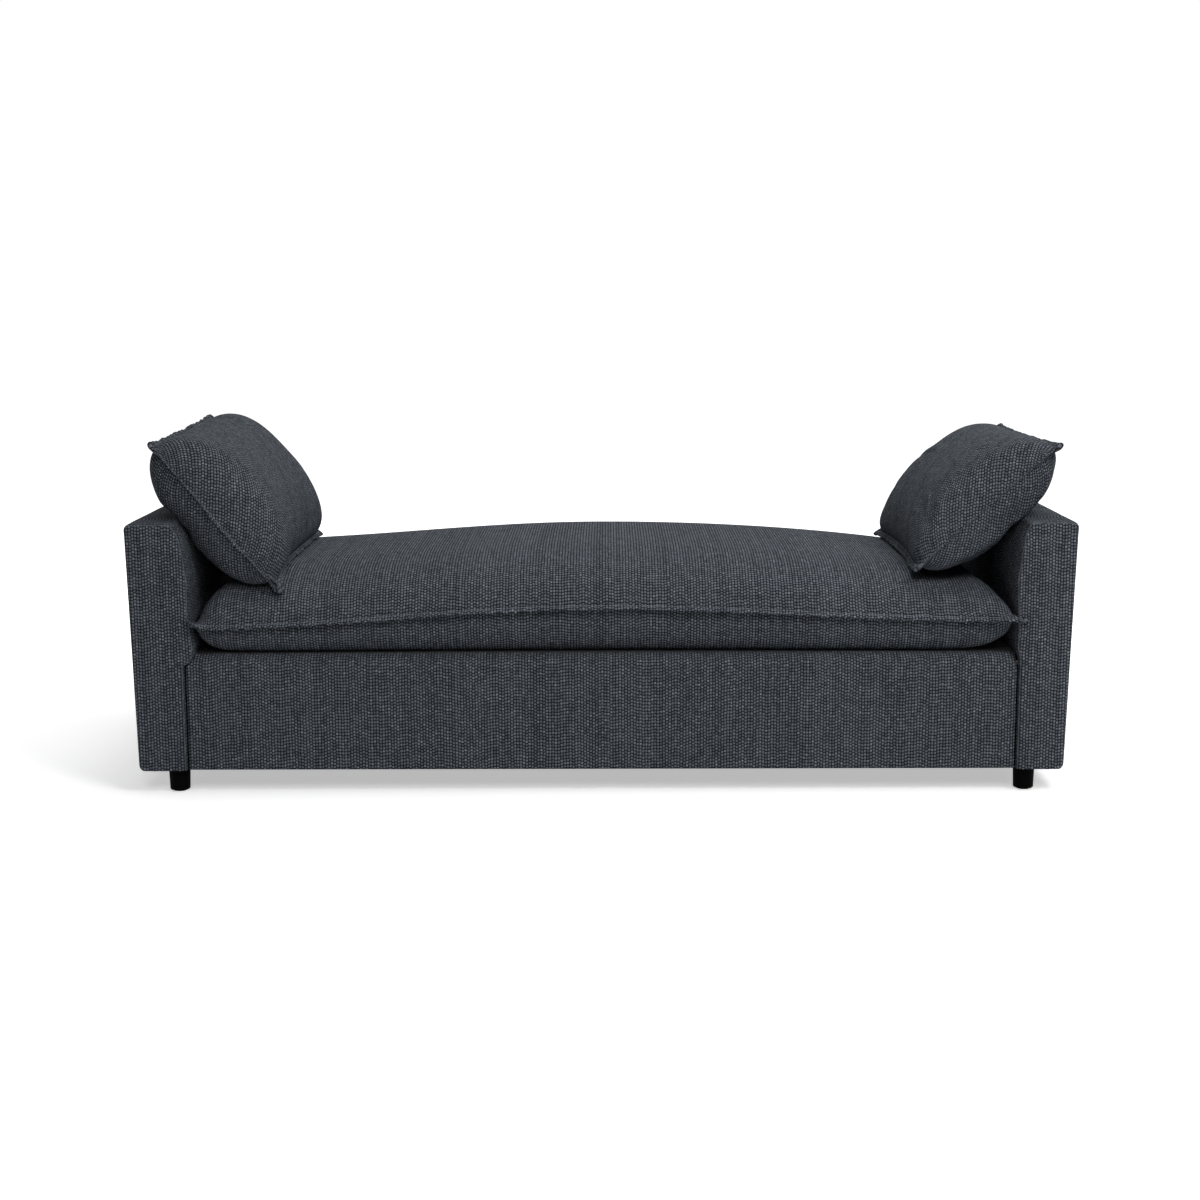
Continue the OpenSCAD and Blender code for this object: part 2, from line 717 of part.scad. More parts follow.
// Foam core of the seat cushion
module core_block(clear) {
    z = seat_foot_z + seat_wrap_t;
    x = seat_hx - seat_wrap_w;
    y = seat_hy - seat_wrap_w;
    block([-x - clear, -y - clear, z - clear], [x + clear, y + clear, z + seat_core_t + clear]);
}
module seat_core() { color("khaki") core_block(0); }
module seat_wrap() {
    color("white") difference() {
        seat_form(cloth_t + rest_gap, over, over);
        core_block(0);
    }
}
module seat_cover() {
    color("slategray") difference() {
        seat_form(0, seat_flange_w, seat_flange_t / 2);
        seat_form(cloth_t, over, over + rest_gap);
    }
}

// Pillows: each is built at the right, and the left one is mirrored
pillow_cells_h = 12;
pillow_cells_l = 16;
pillow_power_h = 3.6;
pillow_power_l = 10;

// Highest reach of the arm's outline towards a pillow that leans by an angle
function arm_reach(lean) = max([for (p = arm_outline(0, leg_h)) p * [-sin(lean), cos(lean)]]);

// Foot of the pillow's seam plane, as deep as it sinks into the seat at its ends
function pillow_foot(lean, room) =
    let (off = arm_reach(lean) + room, z = deck_h + seat_crown_h - seat_seam_fall - pillow_sink)
    [(z * cos(lean) - off) / sin(lean), z];

// Point of a pillow at height h up its lean, length l and swell s off its seam plane. The foot of
// the seam rides over the crown of the seat, the back leans flat on the edge of the arm, and what
// swells below the foot lies on the seat
function pillow_point(h, l, s, inset, lean, room, dip, forward) =
    let (foot = pillow_foot(lean, room),
         y = l - forward,
         tilt = dip * l / pillow_l,
         ride = max(0, seat_height(foot[0], y) + bed_gap + pillow_flange_t / 2 - foot[1] - tilt),
         rise = tilt + ride * pow(max(0, 1 - h / pillow_h), 2),
         t = max(s, lean_gap + inset - room - rise * cos(lean)),
         x = foot[0] + h * cos(lean) - t * sin(lean),
         z = foot[1] + rise + h * sin(lean) + t * cos(lean))
    [x, y, max(z, seat_height(x, y) + bed_gap + inset)];

// Right pillow as a solid, drawn in by inset; flange is the width of its rim, rim its half thickness
module pillow_form(inset, flange, rim, lean, room, dip, forward) {
    hh = pillow_h / 2 - inset - (pillow_flange_w - flange);
    hl = pillow_l / 2 - inset - (pillow_flange_w - flange);
    us = spread(hh, flange, pillow_cells_h);
    vs = spread(hl, flange, pillow_cells_l);
    function place(u, v, s) = pillow_point(
        pillow_h / 2 + u * (1 - pillow_draw / hh * (1 - pow(v / hl, 2))),
        v * (1 - pillow_draw / hl * (1 - pow(u / hh, 2))), s, inset, lean, room, dip, forward);
    function sagged(s) = s + pillow_sag_share * max(0, 1 - s * s);
    function swell(u, v) = edge_fall(sagged(u / (hh - flange)), pillow_power_h)
        * edge_fall(v / (hl - flange), pillow_power_l);
    upper = [for (u = us, v = vs) place(u, v, rim + (pillow_front_swell - rim - inset) * swell(u, v))];
    lower = [for (u = us, v = vs) place(u, v, -rim - (pillow_back_swell - rim - inset) * swell(u, v))];
    polyhedron(concat(upper, lower), grid_faces(pillow_cells_h, pillow_cells_l), convexity = 4);
}
module pillow_insert(lean, room, dip, forward) {
    color("white") pillow_form(cloth_t + rest_gap, over, over, lean, room, dip, forward);
}
module pillow_cover(lean, room, dip, forward) {
    color("slategray") difference() {
        pillow_form(0, pillow_flange_w, pillow_flange_t / 2, lean, room, dip, forward);
        pillow_form(cloth_t, over, over + rest_gap, lean, room, dip, forward);
    }
}
module left_pillow_insert() { at_side(-1) pillow_insert(left_lean, left_room, left_dip, left_forward); }
module left_pillow_cover() { at_side(-1) pillow_cover(left_lean, left_room, left_dip, left_forward); }
module right_pillow_insert() { pillow_insert(right_lean, right_room, 0, right_forward); }
module right_pillow_cover() { pillow_cover(right_lean, right_room, 0, right_forward); }

front_rail();
back_rail();
left_side_rail();
right_side_rail();
cross_rails();
corner_blocks();
middle_leg_block();
left_arm_sill();
left_arm_front_post();
left_arm_back_post();
left_arm_top_rail();
left_arm_tack_rail();
left_arm_inner_board();
left_arm_outer_board();
left_arm_padding();
left_arm_cover();
right_arm_sill();
right_arm_front_post();
right_arm_back_post();
right_arm_top_rail();
right_arm_tack_rail();
right_arm_inner_board();
right_arm_outer_board();
right_arm_padding();
right_arm_cover();
frame_screws();
arm_bolts();
tee_nuts();
webbing_across();
webbing_along();
deck_pad();
deck_cloth();
front_padding();
front_cover();
back_padding();
back_cover();
dust_cover();
front_left_leg();
front_right_leg();
back_left_leg();
back_right_leg();
middle_leg();
leg_bolts();
leg_plates();
plate_screws();
leg_glides();
seat_core();
seat_wrap();
seat_cover();
left_pillow_insert();
left_pillow_cover();
right_pillow_insert();
right_pillow_cover();
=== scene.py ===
"""Backless sofa with two upholstered arms, a bench seat cushion and two loose pillows.

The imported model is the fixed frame. This script dresses it: every upholstered piece is a surface
worked out with numpy, in metres, in the frame's own axes (X along the seat, Y from front to back,
Z up), and every piece of the frame gets its own finish.
"""

import logging
from dataclasses import dataclass, field
from enum import Enum
from typing import Callable, Optional, Sequence, Union

import bmesh
import bpy
import numpy as np
from mathutils import Matrix, Vector


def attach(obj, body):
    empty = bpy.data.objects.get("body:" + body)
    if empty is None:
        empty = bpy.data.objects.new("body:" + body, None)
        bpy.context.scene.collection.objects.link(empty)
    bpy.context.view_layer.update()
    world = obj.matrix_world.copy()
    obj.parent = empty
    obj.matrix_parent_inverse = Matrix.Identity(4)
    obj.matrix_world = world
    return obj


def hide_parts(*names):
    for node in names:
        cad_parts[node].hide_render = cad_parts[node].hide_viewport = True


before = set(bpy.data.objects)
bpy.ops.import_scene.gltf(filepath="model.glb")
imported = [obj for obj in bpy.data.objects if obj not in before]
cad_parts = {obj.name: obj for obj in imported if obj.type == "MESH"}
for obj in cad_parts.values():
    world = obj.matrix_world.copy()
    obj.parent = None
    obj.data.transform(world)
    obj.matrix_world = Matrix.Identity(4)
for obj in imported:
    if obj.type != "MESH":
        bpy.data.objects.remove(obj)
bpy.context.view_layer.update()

LOG = logging.getLogger("sofa")
MM = 0.001
TINY = 1e-9
MERGE = 0.01 * MM
SLIVER = 0.005 * MM
CLOTH_WALL = 1.8 * MM
UP = np.array([0.0, 0.0, 1.0])
Array = np.ndarray
Hold = Callable[[np.ndarray], np.ndarray]
Colour = tuple[float, float, float]


class Slot(Enum):
    """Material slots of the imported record."""

    UPHOLSTERY = "upholstery"
    SEAT_CLOTH = "seat_cloth"
    PILLOW_CLOTH = "pillow_cloth"
    BLACK_CLOTH = "black_cloth"
    WEBBING = "webbing"
    FOAM = "foam"
    FIBRE = "fibre"
    FIBREBOARD = "fibreboard"
    TIMBER = "timber"
    BLACK_LEG = "black_leg"
    GLIDE = "glide"
    ZINC_STEEL = "zinc_steel"


class Side(Enum):
    """Side of the sofa, by the sign of X."""

    LEFT = -1
    RIGHT = 1

    @property
    def word(self) -> str:
        """Name of the side as the frame's nodes write it."""
        return self.name.lower()


class End(Enum):
    """Front or back of the sofa, by the sign of Y."""

    FRONT = -1
    BACK = 1

    @property
    def word(self) -> str:
        """Name of the end as the frame's nodes write it."""
        return self.name.lower()


# ---------------------------------------------------------------- arrays


def smooth_step(value: Array, low: float, high: float) -> Array:
    """Ease from 0 at low to 1 at high: 3 t squared less 2 t cubed.

    Args:
        value: Numbers to ease.
        low: Value at which the ease starts.
        high: Value at which it ends.

    Returns:
        The eased share of each number.
    """
    t = np.clip((np.asarray(value, float) - low) / (high - low), 0.0, 1.0)
    return t * t * (3.0 - 2.0 * t)


RIPPLE_WAVES = 12
RIPPLE_LENGTHS = (0.65, 1.6)
RIPPLE_GAIN = 2.4
RIM_CELLS = 7.0
LEAST_FILLING = 0.2


def ripple(points: Array, wave: float, seed: int) -> Array:
    """Smooth random height: the mean of twelve sine waves in random directions.

    Args:
        points: Places, with X, Y and Z last.
        wave: Usual length of a wave in metres.
        seed: Seed of the directions and phases.

    Returns:
        Heights, mostly within -1 to 1.
    """
    rng = np.random.default_rng(seed)
    ways = rng.normal(size=(RIPPLE_WAVES, 3))
    ways /= np.linalg.norm(ways, axis=1, keepdims=True)
    lengths = wave * rng.uniform(*RIPPLE_LENGTHS, RIPPLE_WAVES)
    phases = rng.uniform(0.0, 2.0 * np.pi, RIPPLE_WAVES)
    turns = points @ (ways / lengths[:, None] * 2.0 * np.pi).T + phases
    return np.sin(turns).mean(axis=-1) * RIPPLE_GAIN


def blurred(grid: Array, cells: int, passes: int = 3) -> Array:
    """Grid smoothed by a running mean along both of its sides, its rim values repeated outwards.

    Args:
        grid: Values, rows by columns by any.
        cells: Half width of the running mean.
        passes: How many times it is smoothed.

    Returns:
        The smoothed grid.
    """
    out = grid
    for _ in range(passes):
        for axis in (0, 1):
            out = np.moveaxis(out, axis, 0)
            before, after = np.repeat(out[:1], cells + 1, 0), np.repeat(out[-1:], cells, 0)
            total = np.cumsum(np.concatenate([before, out, after]), axis=0)
            out = (total[2 * cells + 1 :] - total[: -2 * cells - 1]) / (2 * cells + 1)
            out = np.moveaxis(out, 0, axis)
    return out


def relief(moved: Array, cells: int, share: float = 1.0) -> Array:
    """Fine part of a grid's movement: what is left of it beside its running mean, none at the rim.

    Args:
        moved: Movement of each point.
        cells: Half width of the running mean.
        share: Share of the fine part that is kept.

    Returns:
        The fine part.
    """
    rows, columns = moved.shape[:2]
    i = np.minimum(np.arange(rows), np.arange(rows)[::-1])[:, None]
    j = np.minimum(np.arange(columns), np.arange(columns)[::-1])[None, :]
    calm = smooth_step(np.minimum(i, j), 0.0, RIM_CELLS)[..., None]
    return (moved - blurred(moved, cells)) * calm * share


def core_of(top: Array, low: Array, wall: float, margin: int = 4) -> tuple[Array, Array]:
    """Two faces drawn towards the sheet half way between them, for a filling inside a cover.

    Args:
        top: Upper face of the cover.
        low: Lower face, with the same rim.
        wall: Distance that each face is drawn in.
        margin: Rows and columns that are left out at the rim.

    Returns:
        Upper and lower face of the filling, which meet at their rim.
    """
    m = margin
    top, low = blurred(top, 2)[m:-m, m:-m], blurred(low, 2)[m:-m, m:-m]
    middle, half = 0.5 * (top + low), 0.5 * (top - low)
    thick = np.maximum(np.linalg.norm(half, axis=-1, keepdims=True), TINY)
    half *= np.maximum(thick - wall, LEAST_FILLING * thick) / thick
    inner = np.zeros((*half.shape[:2], 1))
    inner[1:-1, 1:-1] = 1.0
    half *= inner
    return middle + half, middle - half


def spread(count: int, share: float) -> Array:
    """Places from -1 to 1 that crowd towards both ends: a mix of even steps and a sine.

    Args:
        count: Number of places.
        share: Share of the sine in the mix.

    Returns:
        The places.
    """
    t = np.linspace(-1.0, 1.0, count)
    return (1.0 - share) * t + share * np.sin(0.5 * np.pi * t)


def crowded(count: int, dense: int, power: float, reach: float = 0.93) -> Array:
    """Places from -1 to 1 that crowd at both ends, where a form of this power rises from its seam.

    The outer places are the cosine of an even angle, to the power of two over power, so that the
    swell there grows in even steps of the angle; the rest are even.

    Args:
        count: Number of places.
        dense: How many of them crowd at each end.
        power: Power of the form.
        reach: Share of the swell that the crowded places cover.

    Returns:
        The places.
    """
    outer = np.cos(np.linspace(0.0, np.arcsin(reach), dense)) ** (2.0 / power)
    inner = np.linspace(-outer[-1], outer[-1], count - 2 * dense + 2)[1:-1]
    return np.concatenate([-outer, inner, outer[::-1]])


def swell(u: Array, v: Array, power_u: Array, power_v: float, join: float) -> Array:
    """Root of (1 - the joined edge shares): 1 in the middle, 0 at the seam, full into the corners.

    The edge shares are |u| and |v|, each to its power. They are joined as the root to the power
    join of the sum of their powers join.

    Args:
        u: Share of the way to the seam along the first side.
        v: Share of the way along the second side.
        power_u: How long the swell stays full along the first side.
        power_v: The same along the second side.
        join: How square the swell stays in the corners.

    Returns:
        The swell, 0 to 1.
    """
    a, b = np.abs(u) ** power_u, np.abs(v) ** power_v
    return np.sqrt(np.clip(1.0 - (a**join + b**join) ** (1.0 / join), 0.0, 1.0))


def path_lengths(points: Array, axis: int) -> Array:
    """Length along a grid's rows or columns, counted from the middle one.

    Args:
        points: Grid of places, rows by columns by 3.
        axis: 0 to walk down the rows, 1 to walk along the columns.

    Returns:
        Length at each place of the grid.
    """
    steps = np.linalg.norm(np.diff(points, axis=axis), axis=-1)
    lead = np.zeros_like(np.take(steps, [0], axis=axis))
    along = np.concatenate([lead, np.cumsum(steps, axis=axis)], axis=axis)
    return along - np.take(along, [points.shape[axis] // 2], axis=axis)


def unit(vectors: Array) -> Array:
    """Vectors of length one along the given ones."""
    return vectors / np.maximum(np.linalg.norm(vectors, axis=-1, keepdims=True), 1e-12)


def ring_of(grid: Array) -> Array:
    """Rim of a grid as one closed ring, each corner once: first row, last column, and back.

    Args:
        grid: Rows by columns by any.

    Returns:
        The rim's values in order.
    """
    return np.concatenate([grid[0, :-1], grid[:-1, -1], grid[-1, :0:-1], grid[:0:-1, 0]])


def lay_ring(grid: Array, ring: Array) -> None:
    """Writes a closed ring into the rim of a grid, in the order that ring_of reads it.

    Args:
        grid: Rows by columns by any, changed in place.
        ring: The rim's new values.
    """
    rows, columns = grid.shape[:2]
    corners = np.cumsum([columns - 1, rows - 1, columns - 1])
    grid[0, :-1], grid[:-1, -1], grid[-1, :0:-1], grid[:0:-1, 0] = np.split(ring, corners)


def ring_steps(ring: Array) -> Array:
    """Step from the place before to the place after each one of a closed ring."""
    return np.roll(ring, -1, axis=0) - np.roll(ring, 1, axis=0)


def facing_out(ring: Array, ways: Array) -> Array:
    """Directions round a ring, all turned over where they point inwards on the whole.

    Args:
        ring: Closed ring of places.
        ways: A direction at each place.

    Returns:
        The directions, outwards.
    """
    return ways * np.sign(((ring - ring.mean(axis=0)) * ways).sum(axis=1).mean())


def grid_quads(ids: Array, close: bool = False) -> Array:
    """Quads between neighbours of a grid of vertex numbers.

    Args:
        ids: Vertex numbers, rows by columns.
        close: Whether the last column joins the first.

    Returns:
        Quads, one a row.
    """
    if close:
        ids = np.concatenate([ids, ids[:, :1]], axis=1)
    return np.stack([ids[:-1, :-1], ids[:-1, 1:], ids[1:, 1:], ids[1:, :-1]], -1).reshape(-1, 4)


# ---------------------------------------------------------------- meshes


def cleaned(mesh: bpy.types.Mesh, sliver: float = 0.0, outward: bool = True) -> None:
    """Merges the doubles of a mesh, drops its slivers and turns its faces outwards.

    Args:
        mesh: The mesh.
        sliver: Length under which an edge is dropped. Nothing is merged where it is 0.
        outward: Whether the normals are worked out again.
    """
    work = bmesh.new()
    work.from_mesh(mesh)
    if sliver:
        bmesh.ops.remove_doubles(work, verts=work.verts, dist=MERGE)
        bmesh.ops.dissolve_degenerate(work, edges=work.edges, dist=sliver)
    if outward:
        bmesh.ops.recalc_face_normals(work, faces=work.faces)
    work.to_mesh(mesh)
    work.free()


def placed(name: str, mesh: bpy.types.Mesh) -> bpy.types.Object:
    """New object of a mesh in the scene, at the origin."""
    piece = bpy.data.objects.new(name, mesh)
    bpy.context.scene.collection.objects.link(piece)
    return piece


def strands(name: str, grids: Array, smooth: bool) -> bpy.types.Object:
    """Makes many short strands one piece, each closed at both ends.

    Args:
        name: Name of the piece.
        grids: Strands by rings by points of a ring by 3.
        smooth: Whether the faces are shaded smooth.

    Returns:
        The piece.
    """
    ids = np.arange(grids[..., 0].size).reshape(grids.shape[:3])
    wrapped = np.concatenate([ids, ids[:, :, :1]], axis=2)
    before, after = wrapped[:, :-1], wrapped[:, 1:]
    sides = np.stack([before[..., :-1], before[..., 1:], after[..., 1:], after[..., :-1]], -1)
    faces = sides.reshape(-1, 4).tolist() + ids[:, 0, ::-1].tolist() + ids[:, -1].tolist()
    mesh = bpy.data.meshes.new(name)
    mesh.from_pydata(grids.reshape(-1, 3).tolist(), [], faces)
    cleaned(mesh)
    mesh.polygons.foreach_set("use_smooth", np.full(len(mesh.polygons), smooth))
    return placed(name, mesh)


@dataclass
class Panels:
    """Grids of points that are sewn into one mesh; each grid keeps its own cloth coordinates."""

    points: list[Array] = field(default_factory=list)
    quads: list[Array] = field(default_factory=list)
    cloth: list[Array] = field(default_factory=list)

    def add(self, grid: Array, cloth: Optional[Array] = None, close: bool = False) -> None:
        """Adds a grid.

        Args:
            grid: Rows by columns by 3, in metres.
            cloth: Place of each point on the flat cloth, in metres. X and Z when left out.
            close: Whether the last column joins the first.
        """
        rows, columns = grid.shape[:2]
        base = sum(len(p) for p in self.points)
        cloth = grid[..., [0, 2]] if cloth is None else cloth
        if close:
            grid = np.concatenate([grid, grid[:, :1]], axis=1)
            cloth = np.concatenate([cloth, cloth[:, :1]], axis=1)
            columns += 1
        quads = grid_quads(np.arange(rows * columns).reshape(rows, columns))
        self.points.append(grid.reshape(-1, 3))
        self.cloth.append(cloth.reshape(-1, 2)[quads].reshape(-1, 2))
        self.quads.append(quads + base)

    def sew(self, name: str, outward: bool = True) -> bpy.types.Object:
        """Makes the object: doubles along the seams are merged and the faces turned outwards.

        Args:
            name: Name of the piece.
            outward: Whether the normals are worked out again.

        Returns:
            The new object, at the origin.
        """
        mesh = bpy.data.meshes.new(name)
        points, quads = np.concatenate(self.points), np.concatenate(self.quads)
        mesh.from_pydata(points.tolist(), [], quads.tolist())
        layer = mesh.uv_layers.new(name="cloth")
        layer.data.foreach_set("uv", np.concatenate(self.cloth).astype(np.float32).ravel())
        cleaned(mesh, SLIVER, outward)
        mesh.polygons.foreach_set("use_smooth", np.ones(len(mesh.polygons), bool))
        return placed(name, mesh)


def with_thickness(piece: bpy.types.Object, thickness: float, offset: float = -1.0) -> None:
    """Gives a sheet of cloth its thickness.

    Args:
        piece: The sheet.
        thickness: Thickness in metres.
        offset: -1 to grow inwards, 0 to both sides.
    """
    wall = piece.modifiers.new("cloth thickness", "SOLIDIFY")
    wall.thickness = thickness
    wall.offset = offset


def subdivided(piece: bpy.types.Object, levels: int = 1) -> None:
    """Smooths a piece with a subdivision surface.

    Args:
        piece: The piece.
        levels: Levels, the same in the view and the render.
    """
    soft = piece.modifiers.new("smooth", "SUBSURF")
    soft.levels = levels
    soft.render_levels = levels
    soft.boundary_smooth = "PRESERVE_CORNERS"


def dress(piece: bpy.types.Object, finish: "Finish", body: str, nodes: Sequence[str] = ()) -> None:
    """Gives a new piece its material, and ties it to its body.

    Args:
        piece: The piece.
        finish: Its finish.
        body: Body that it rides on.
        nodes: Nodes of the frame that it stands for.
    """
    piece.data.materials.clear()
    piece.data.materials.append(finish.material())
    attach(piece, body)
    if nodes:
        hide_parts(*nodes)
    LOG.info("%s: %d faces, on %s", piece.name, len(piece.data.polygons), body)


# ---------------------------------------------------------------- node graphs

Socket = bpy.types.NodeSocket
Sockets = dict[str, bpy.types.NodeSocket]
Value = Union[float, bpy.types.NodeSocket]


class Graph:
    """A node tree with short calls for the nodes that the finishes use."""

    def __init__(self, tree: bpy.types.NodeTree) -> None:
        """Takes over an empty tree.

        Args:
            tree: The tree.
        """
        self.tree = tree

    def node(self, kind: str, **settings: object) -> bpy.types.Node:
        """Adds a node.

        Args:
            kind: Its type, without the ShaderNode prefix unless it is a group's own node.
            **settings: Properties of the node.

        Returns:
            The node.
        """
        name = kind if kind.startswith("NodeGroup") else "ShaderNode" + kind
        made = self.tree.nodes.new(name)
        for key, value in settings.items():
            setattr(made, key, value)
        return made

    def put(self, socket: Socket, value: Value) -> None:
        """Links a socket to a value, or sets it.

        Args:
            socket: Input socket.
            value: Output socket, number or tuple.
        """
        if isinstance(value, Socket):
            self.tree.links.new(value, socket)
        else:
            socket.default_value = value

    def math(self, word: str, *values: Value, clamp: bool = False) -> Socket:
        """Adds a Math node.

        Args:
            word: Its operation.
            *values: Its inputs.
            clamp: Whether the result is held within 0 and 1.

        Returns:
            Its output.
        """
        made = self.node("Math", operation=word, use_clamp=clamp)
        for socket, value in zip(made.inputs, values):
            self.put(socket, value)
        return made.outputs[0]

    def times(self, a: Value, b: Value) -> Socket:
        """Product of two numbers."""
        return self.math("MULTIPLY", a, b)

    def plus(self, a: Value, b: Value) -> Socket:
        """Sum of two numbers."""
        return self.math("ADD", a, b)

    def line(self, value: Value, gain: float, base: Value) -> Socket:
        """Value times gain, plus base."""
        return self.math("MULTIPLY_ADD", value, gain, base)

    def mix(self, share: Value, a: Union[Colour, Socket], b: Colour) -> Socket:
        """Mixes two colours.

        Args:
            share: Share of the second one.
            a: First colour.
            b: Second colour.

        Returns:
            The mixed colour.
        """
        made = self.node("Mix", data_type="RGBA")
        self.put(made.inputs[0], share)
        self.put(made.inputs[6], a if isinstance(a, Socket) else (*a, 1.0))
        self.put(made.inputs[7], (*b, 1.0))
        return made.outputs[2]

    def noise(self, place: Value, scale: float, detail: float = 2.0, rough: float = 0.5) -> Socket:
        """Adds a noise texture.

        Args:
            place: Vector that it reads.
            scale: Its scale.
            detail: Its detail.
            rough: Its roughness.

        Returns:
            Its height, about 0.5 on average.
        """
        made = self.node("TexNoise")
        self.put(made.inputs["Vector"], place)
        made.inputs["Scale"].default_value = scale
        made.inputs["Detail"].default_value = detail
        made.inputs["Roughness"].default_value = rough
        return made.outputs["Fac"]

    def vector(self, x: Value, y: Value, z: Value) -> Socket:
        """Joins three numbers into a vector.

        Args:
            x: First number.
            y: Second number.
            z: Third number.

        Returns:
            The vector.
        """
        made = self.node("CombineXYZ")
        for socket, value in zip(made.inputs, (x, y, z)):
            self.put(socket, value)
        return made.outputs[0]

    def solid(self) -> Socket:
        """Place on the piece, in its own Object coordinates."""
        return self.node("TexCoord").outputs["Object"]

    def seen_white(self) -> Socket:
        """1 for rays from the camera, mirrored rays and rays let through, and 0 for the others."""
        path = self.node("LightPath")
        mirrored, through = path.outputs["Is Glossy Ray"], path.outputs["Is Transmission Ray"]
        seen = path.outputs["Is Camera Ray"]
        return self.math("MAXIMUM", seen, self.math("MAXIMUM", mirrored, through))

    def parts(self, vector: Socket) -> tuple[Socket, ...]:
        """Splits a vector.

        Args:
            vector: The vector.

        Returns:
            Its three numbers.
        """
        made = self.node("SeparateXYZ")
        self.put(made.inputs[0], vector)
        return tuple(made.outputs)

    def ramp(self, value: Value, low: float, high: float) -> Socket:
        """Share of the way from low to high, held within 0 and 1 and eased.

        Args:
            value: Number to place.
            low: Value that gives 0.
            high: Value that gives 1.

        Returns:
            The share.
        """
        made = self.node("MapRange", interpolation_type="SMOOTHSTEP")
        self.put(made.inputs["Value"], value)
        made.inputs["From Min"].default_value = low
        made.inputs["From Max"].default_value = high
        return made.outputs["Result"]


@dataclass(frozen=True)
class Effect:
    """A shader node group that several finishes share, built once."""

    name: str
    inputs: tuple[tuple[str, str, float], ...]
    outputs: tuple[tuple[str, str], ...]
    build: Callable[[Graph, Sockets], Sockets]

    def tree(self) -> bpy.types.NodeTree:
        """Node group of the effect, made at the first call.

        Returns:
            The group.
        """
        if self.name in bpy.data.node_groups:
            return bpy.data.node_groups[self.name]
        tree = bpy.data.node_groups.new(self.name, "ShaderNodeTree")
        sockets = tree.interface
        for name, kind, value in self.inputs:
            entry = sockets.new_socket(name, in_out="INPUT", socket_type="NodeSocket" + kind)
            if kind == "Float":
                entry.default_value = value
        for name, kind in self.outputs:
            sockets.new_socket(name, in_out="OUTPUT", socket_type="NodeSocket" + kind)
        graph = Graph(tree)
        entry = graph.node("NodeGroupInput")
        leave = graph.node("NodeGroupOutput")
        made = self.build(graph, {s.name: s for s in entry.outputs if s.name})
        for name, _ in self.outputs:
            graph.put(leave.inputs[name], made[name])
        return tree

    def place(self, graph: Graph, **values: Value) -> Sockets:
        """Puts the effect into a material.

        Args:
            graph: The material's graph.
            **values: Inputs by name, with _ for a space.

        Returns:
            The effect's outputs by name.
        """
        made = graph.node("Group")
        made.node_tree = self.tree()
        for key, value in values.items():
            graph.put(made.inputs[key.replace("_", " ")], value)
        return {s.name: s for s in made.outputs}


@dataclass(frozen=True)
class YarnPlay:
    """How the yarns of the nubby weave stray and vary.

    A tone is a gain and a base, a chance or rise is a span, and streaks are a width and a length.
    """

    wander_scale: float = 38.0
    wander: float = 3.0 * MM
    half_row: float = 0.5
    shift: float = 0.75
    nub_power: float = 1.3
    streaks: tuple[float, float] = (0.61, 16.0)
    fibre_scale: float = 900.0
    fibre_length: float = 0.45
    nub_tone: tuple[float, float] = (0.80, 0.75)
    streak_tone: tuple[float, float] = (0.36, 0.89)
    yarn_tone: tuple[float, float] = (0.32, 0.84)
    fibre_tone: tuple[float, float] = (0.8, 0.6)
    fleck_chance: tuple[float, float] = (0.86, 0.99)
    fleck_rise: tuple[float, float] = (0.45, 0.95)
    fibre_relief: float = 0.15


def build_weave(graph: Graph, at: Sockets) -> Sockets:
    """Nubby weave: upright yarn columns of rounded nubs, each column shifted along its neighbour.

    A nub's height is (1 - a squared) times (1 - b squared), to the power 1.3, a and b being the
    shares of the way from its middle to its edges.

    Args:
        graph: The group's graph.
        at: Its inputs.

    Returns:
        Its outputs.
    """
    play = YarnPlay()
    place = at["Place"]
    stray = graph.math("SUBTRACT", graph.noise(place, play.wander_scale), 0.5)
    wander = graph.times(stray, play.wander)
    u, v, _ = graph.parts(place)
    across = graph.math("DIVIDE", graph.plus(u, wander), at["Column"])
    column = graph.math("FLOOR", across)
    yarn = graph.node("TexWhiteNoise", noise_dimensions="1D")
    graph.put(yarn.inputs["W"], column)
    yarn_chance = yarn.outputs["Value"]
    shift = graph.plus(graph.times(column, play.half_row), graph.times(yarn_chance, play.shift))
    along = graph.plus(graph.math("DIVIDE", graph.plus(v, wander), at["Row"]), shift)
    a, b = (graph.line(graph.math("FRACT", way), 2.0, -1.0) for way in (across, along))
    round_a, round_b = (
        graph.math("SUBTRACT", 1.0, graph.times(way, way), clamp=True) for way in (a, b)
    )
    nub = graph.math("POWER", graph.times(round_a, round_b), play.nub_power)
    spot = graph.node("TexWhiteNoise", noise_dimensions="3D")
    graph.put(spot.inputs["Vector"], graph.vector(column, graph.math("FLOOR", along), 3.0))
    chance = spot.outputs["Value"]
    wide, tall = play.streaks
    streak_at = graph.vector(graph.times(column, wide), graph.times(v, tall), 0.0)
    streak = graph.noise(streak_at, scale=1.0, detail=1.0)
    fibre_at = graph.vector(u, graph.times(v, play.fibre_length), 0.0)
    fibres = graph.noise(fibre_at, play.fibre_scale, detail=3.0, rough=0.7)
    tone = nub
    for value, (gain, base) in (
        (chance, play.nub_tone), (streak, play.streak_tone),
        (yarn_chance, play.yarn_tone), (fibres, play.fibre_tone),
    ):
        tone = graph.times(tone, graph.line(value, gain, base))
    fleck = graph.times(graph.ramp(chance, *play.fleck_chance), graph.ramp(nub, *play.fleck_rise))
    return {"Tone": tone, "Fleck": fleck, "Height": graph.line(fibres, play.fibre_relief, nub)}


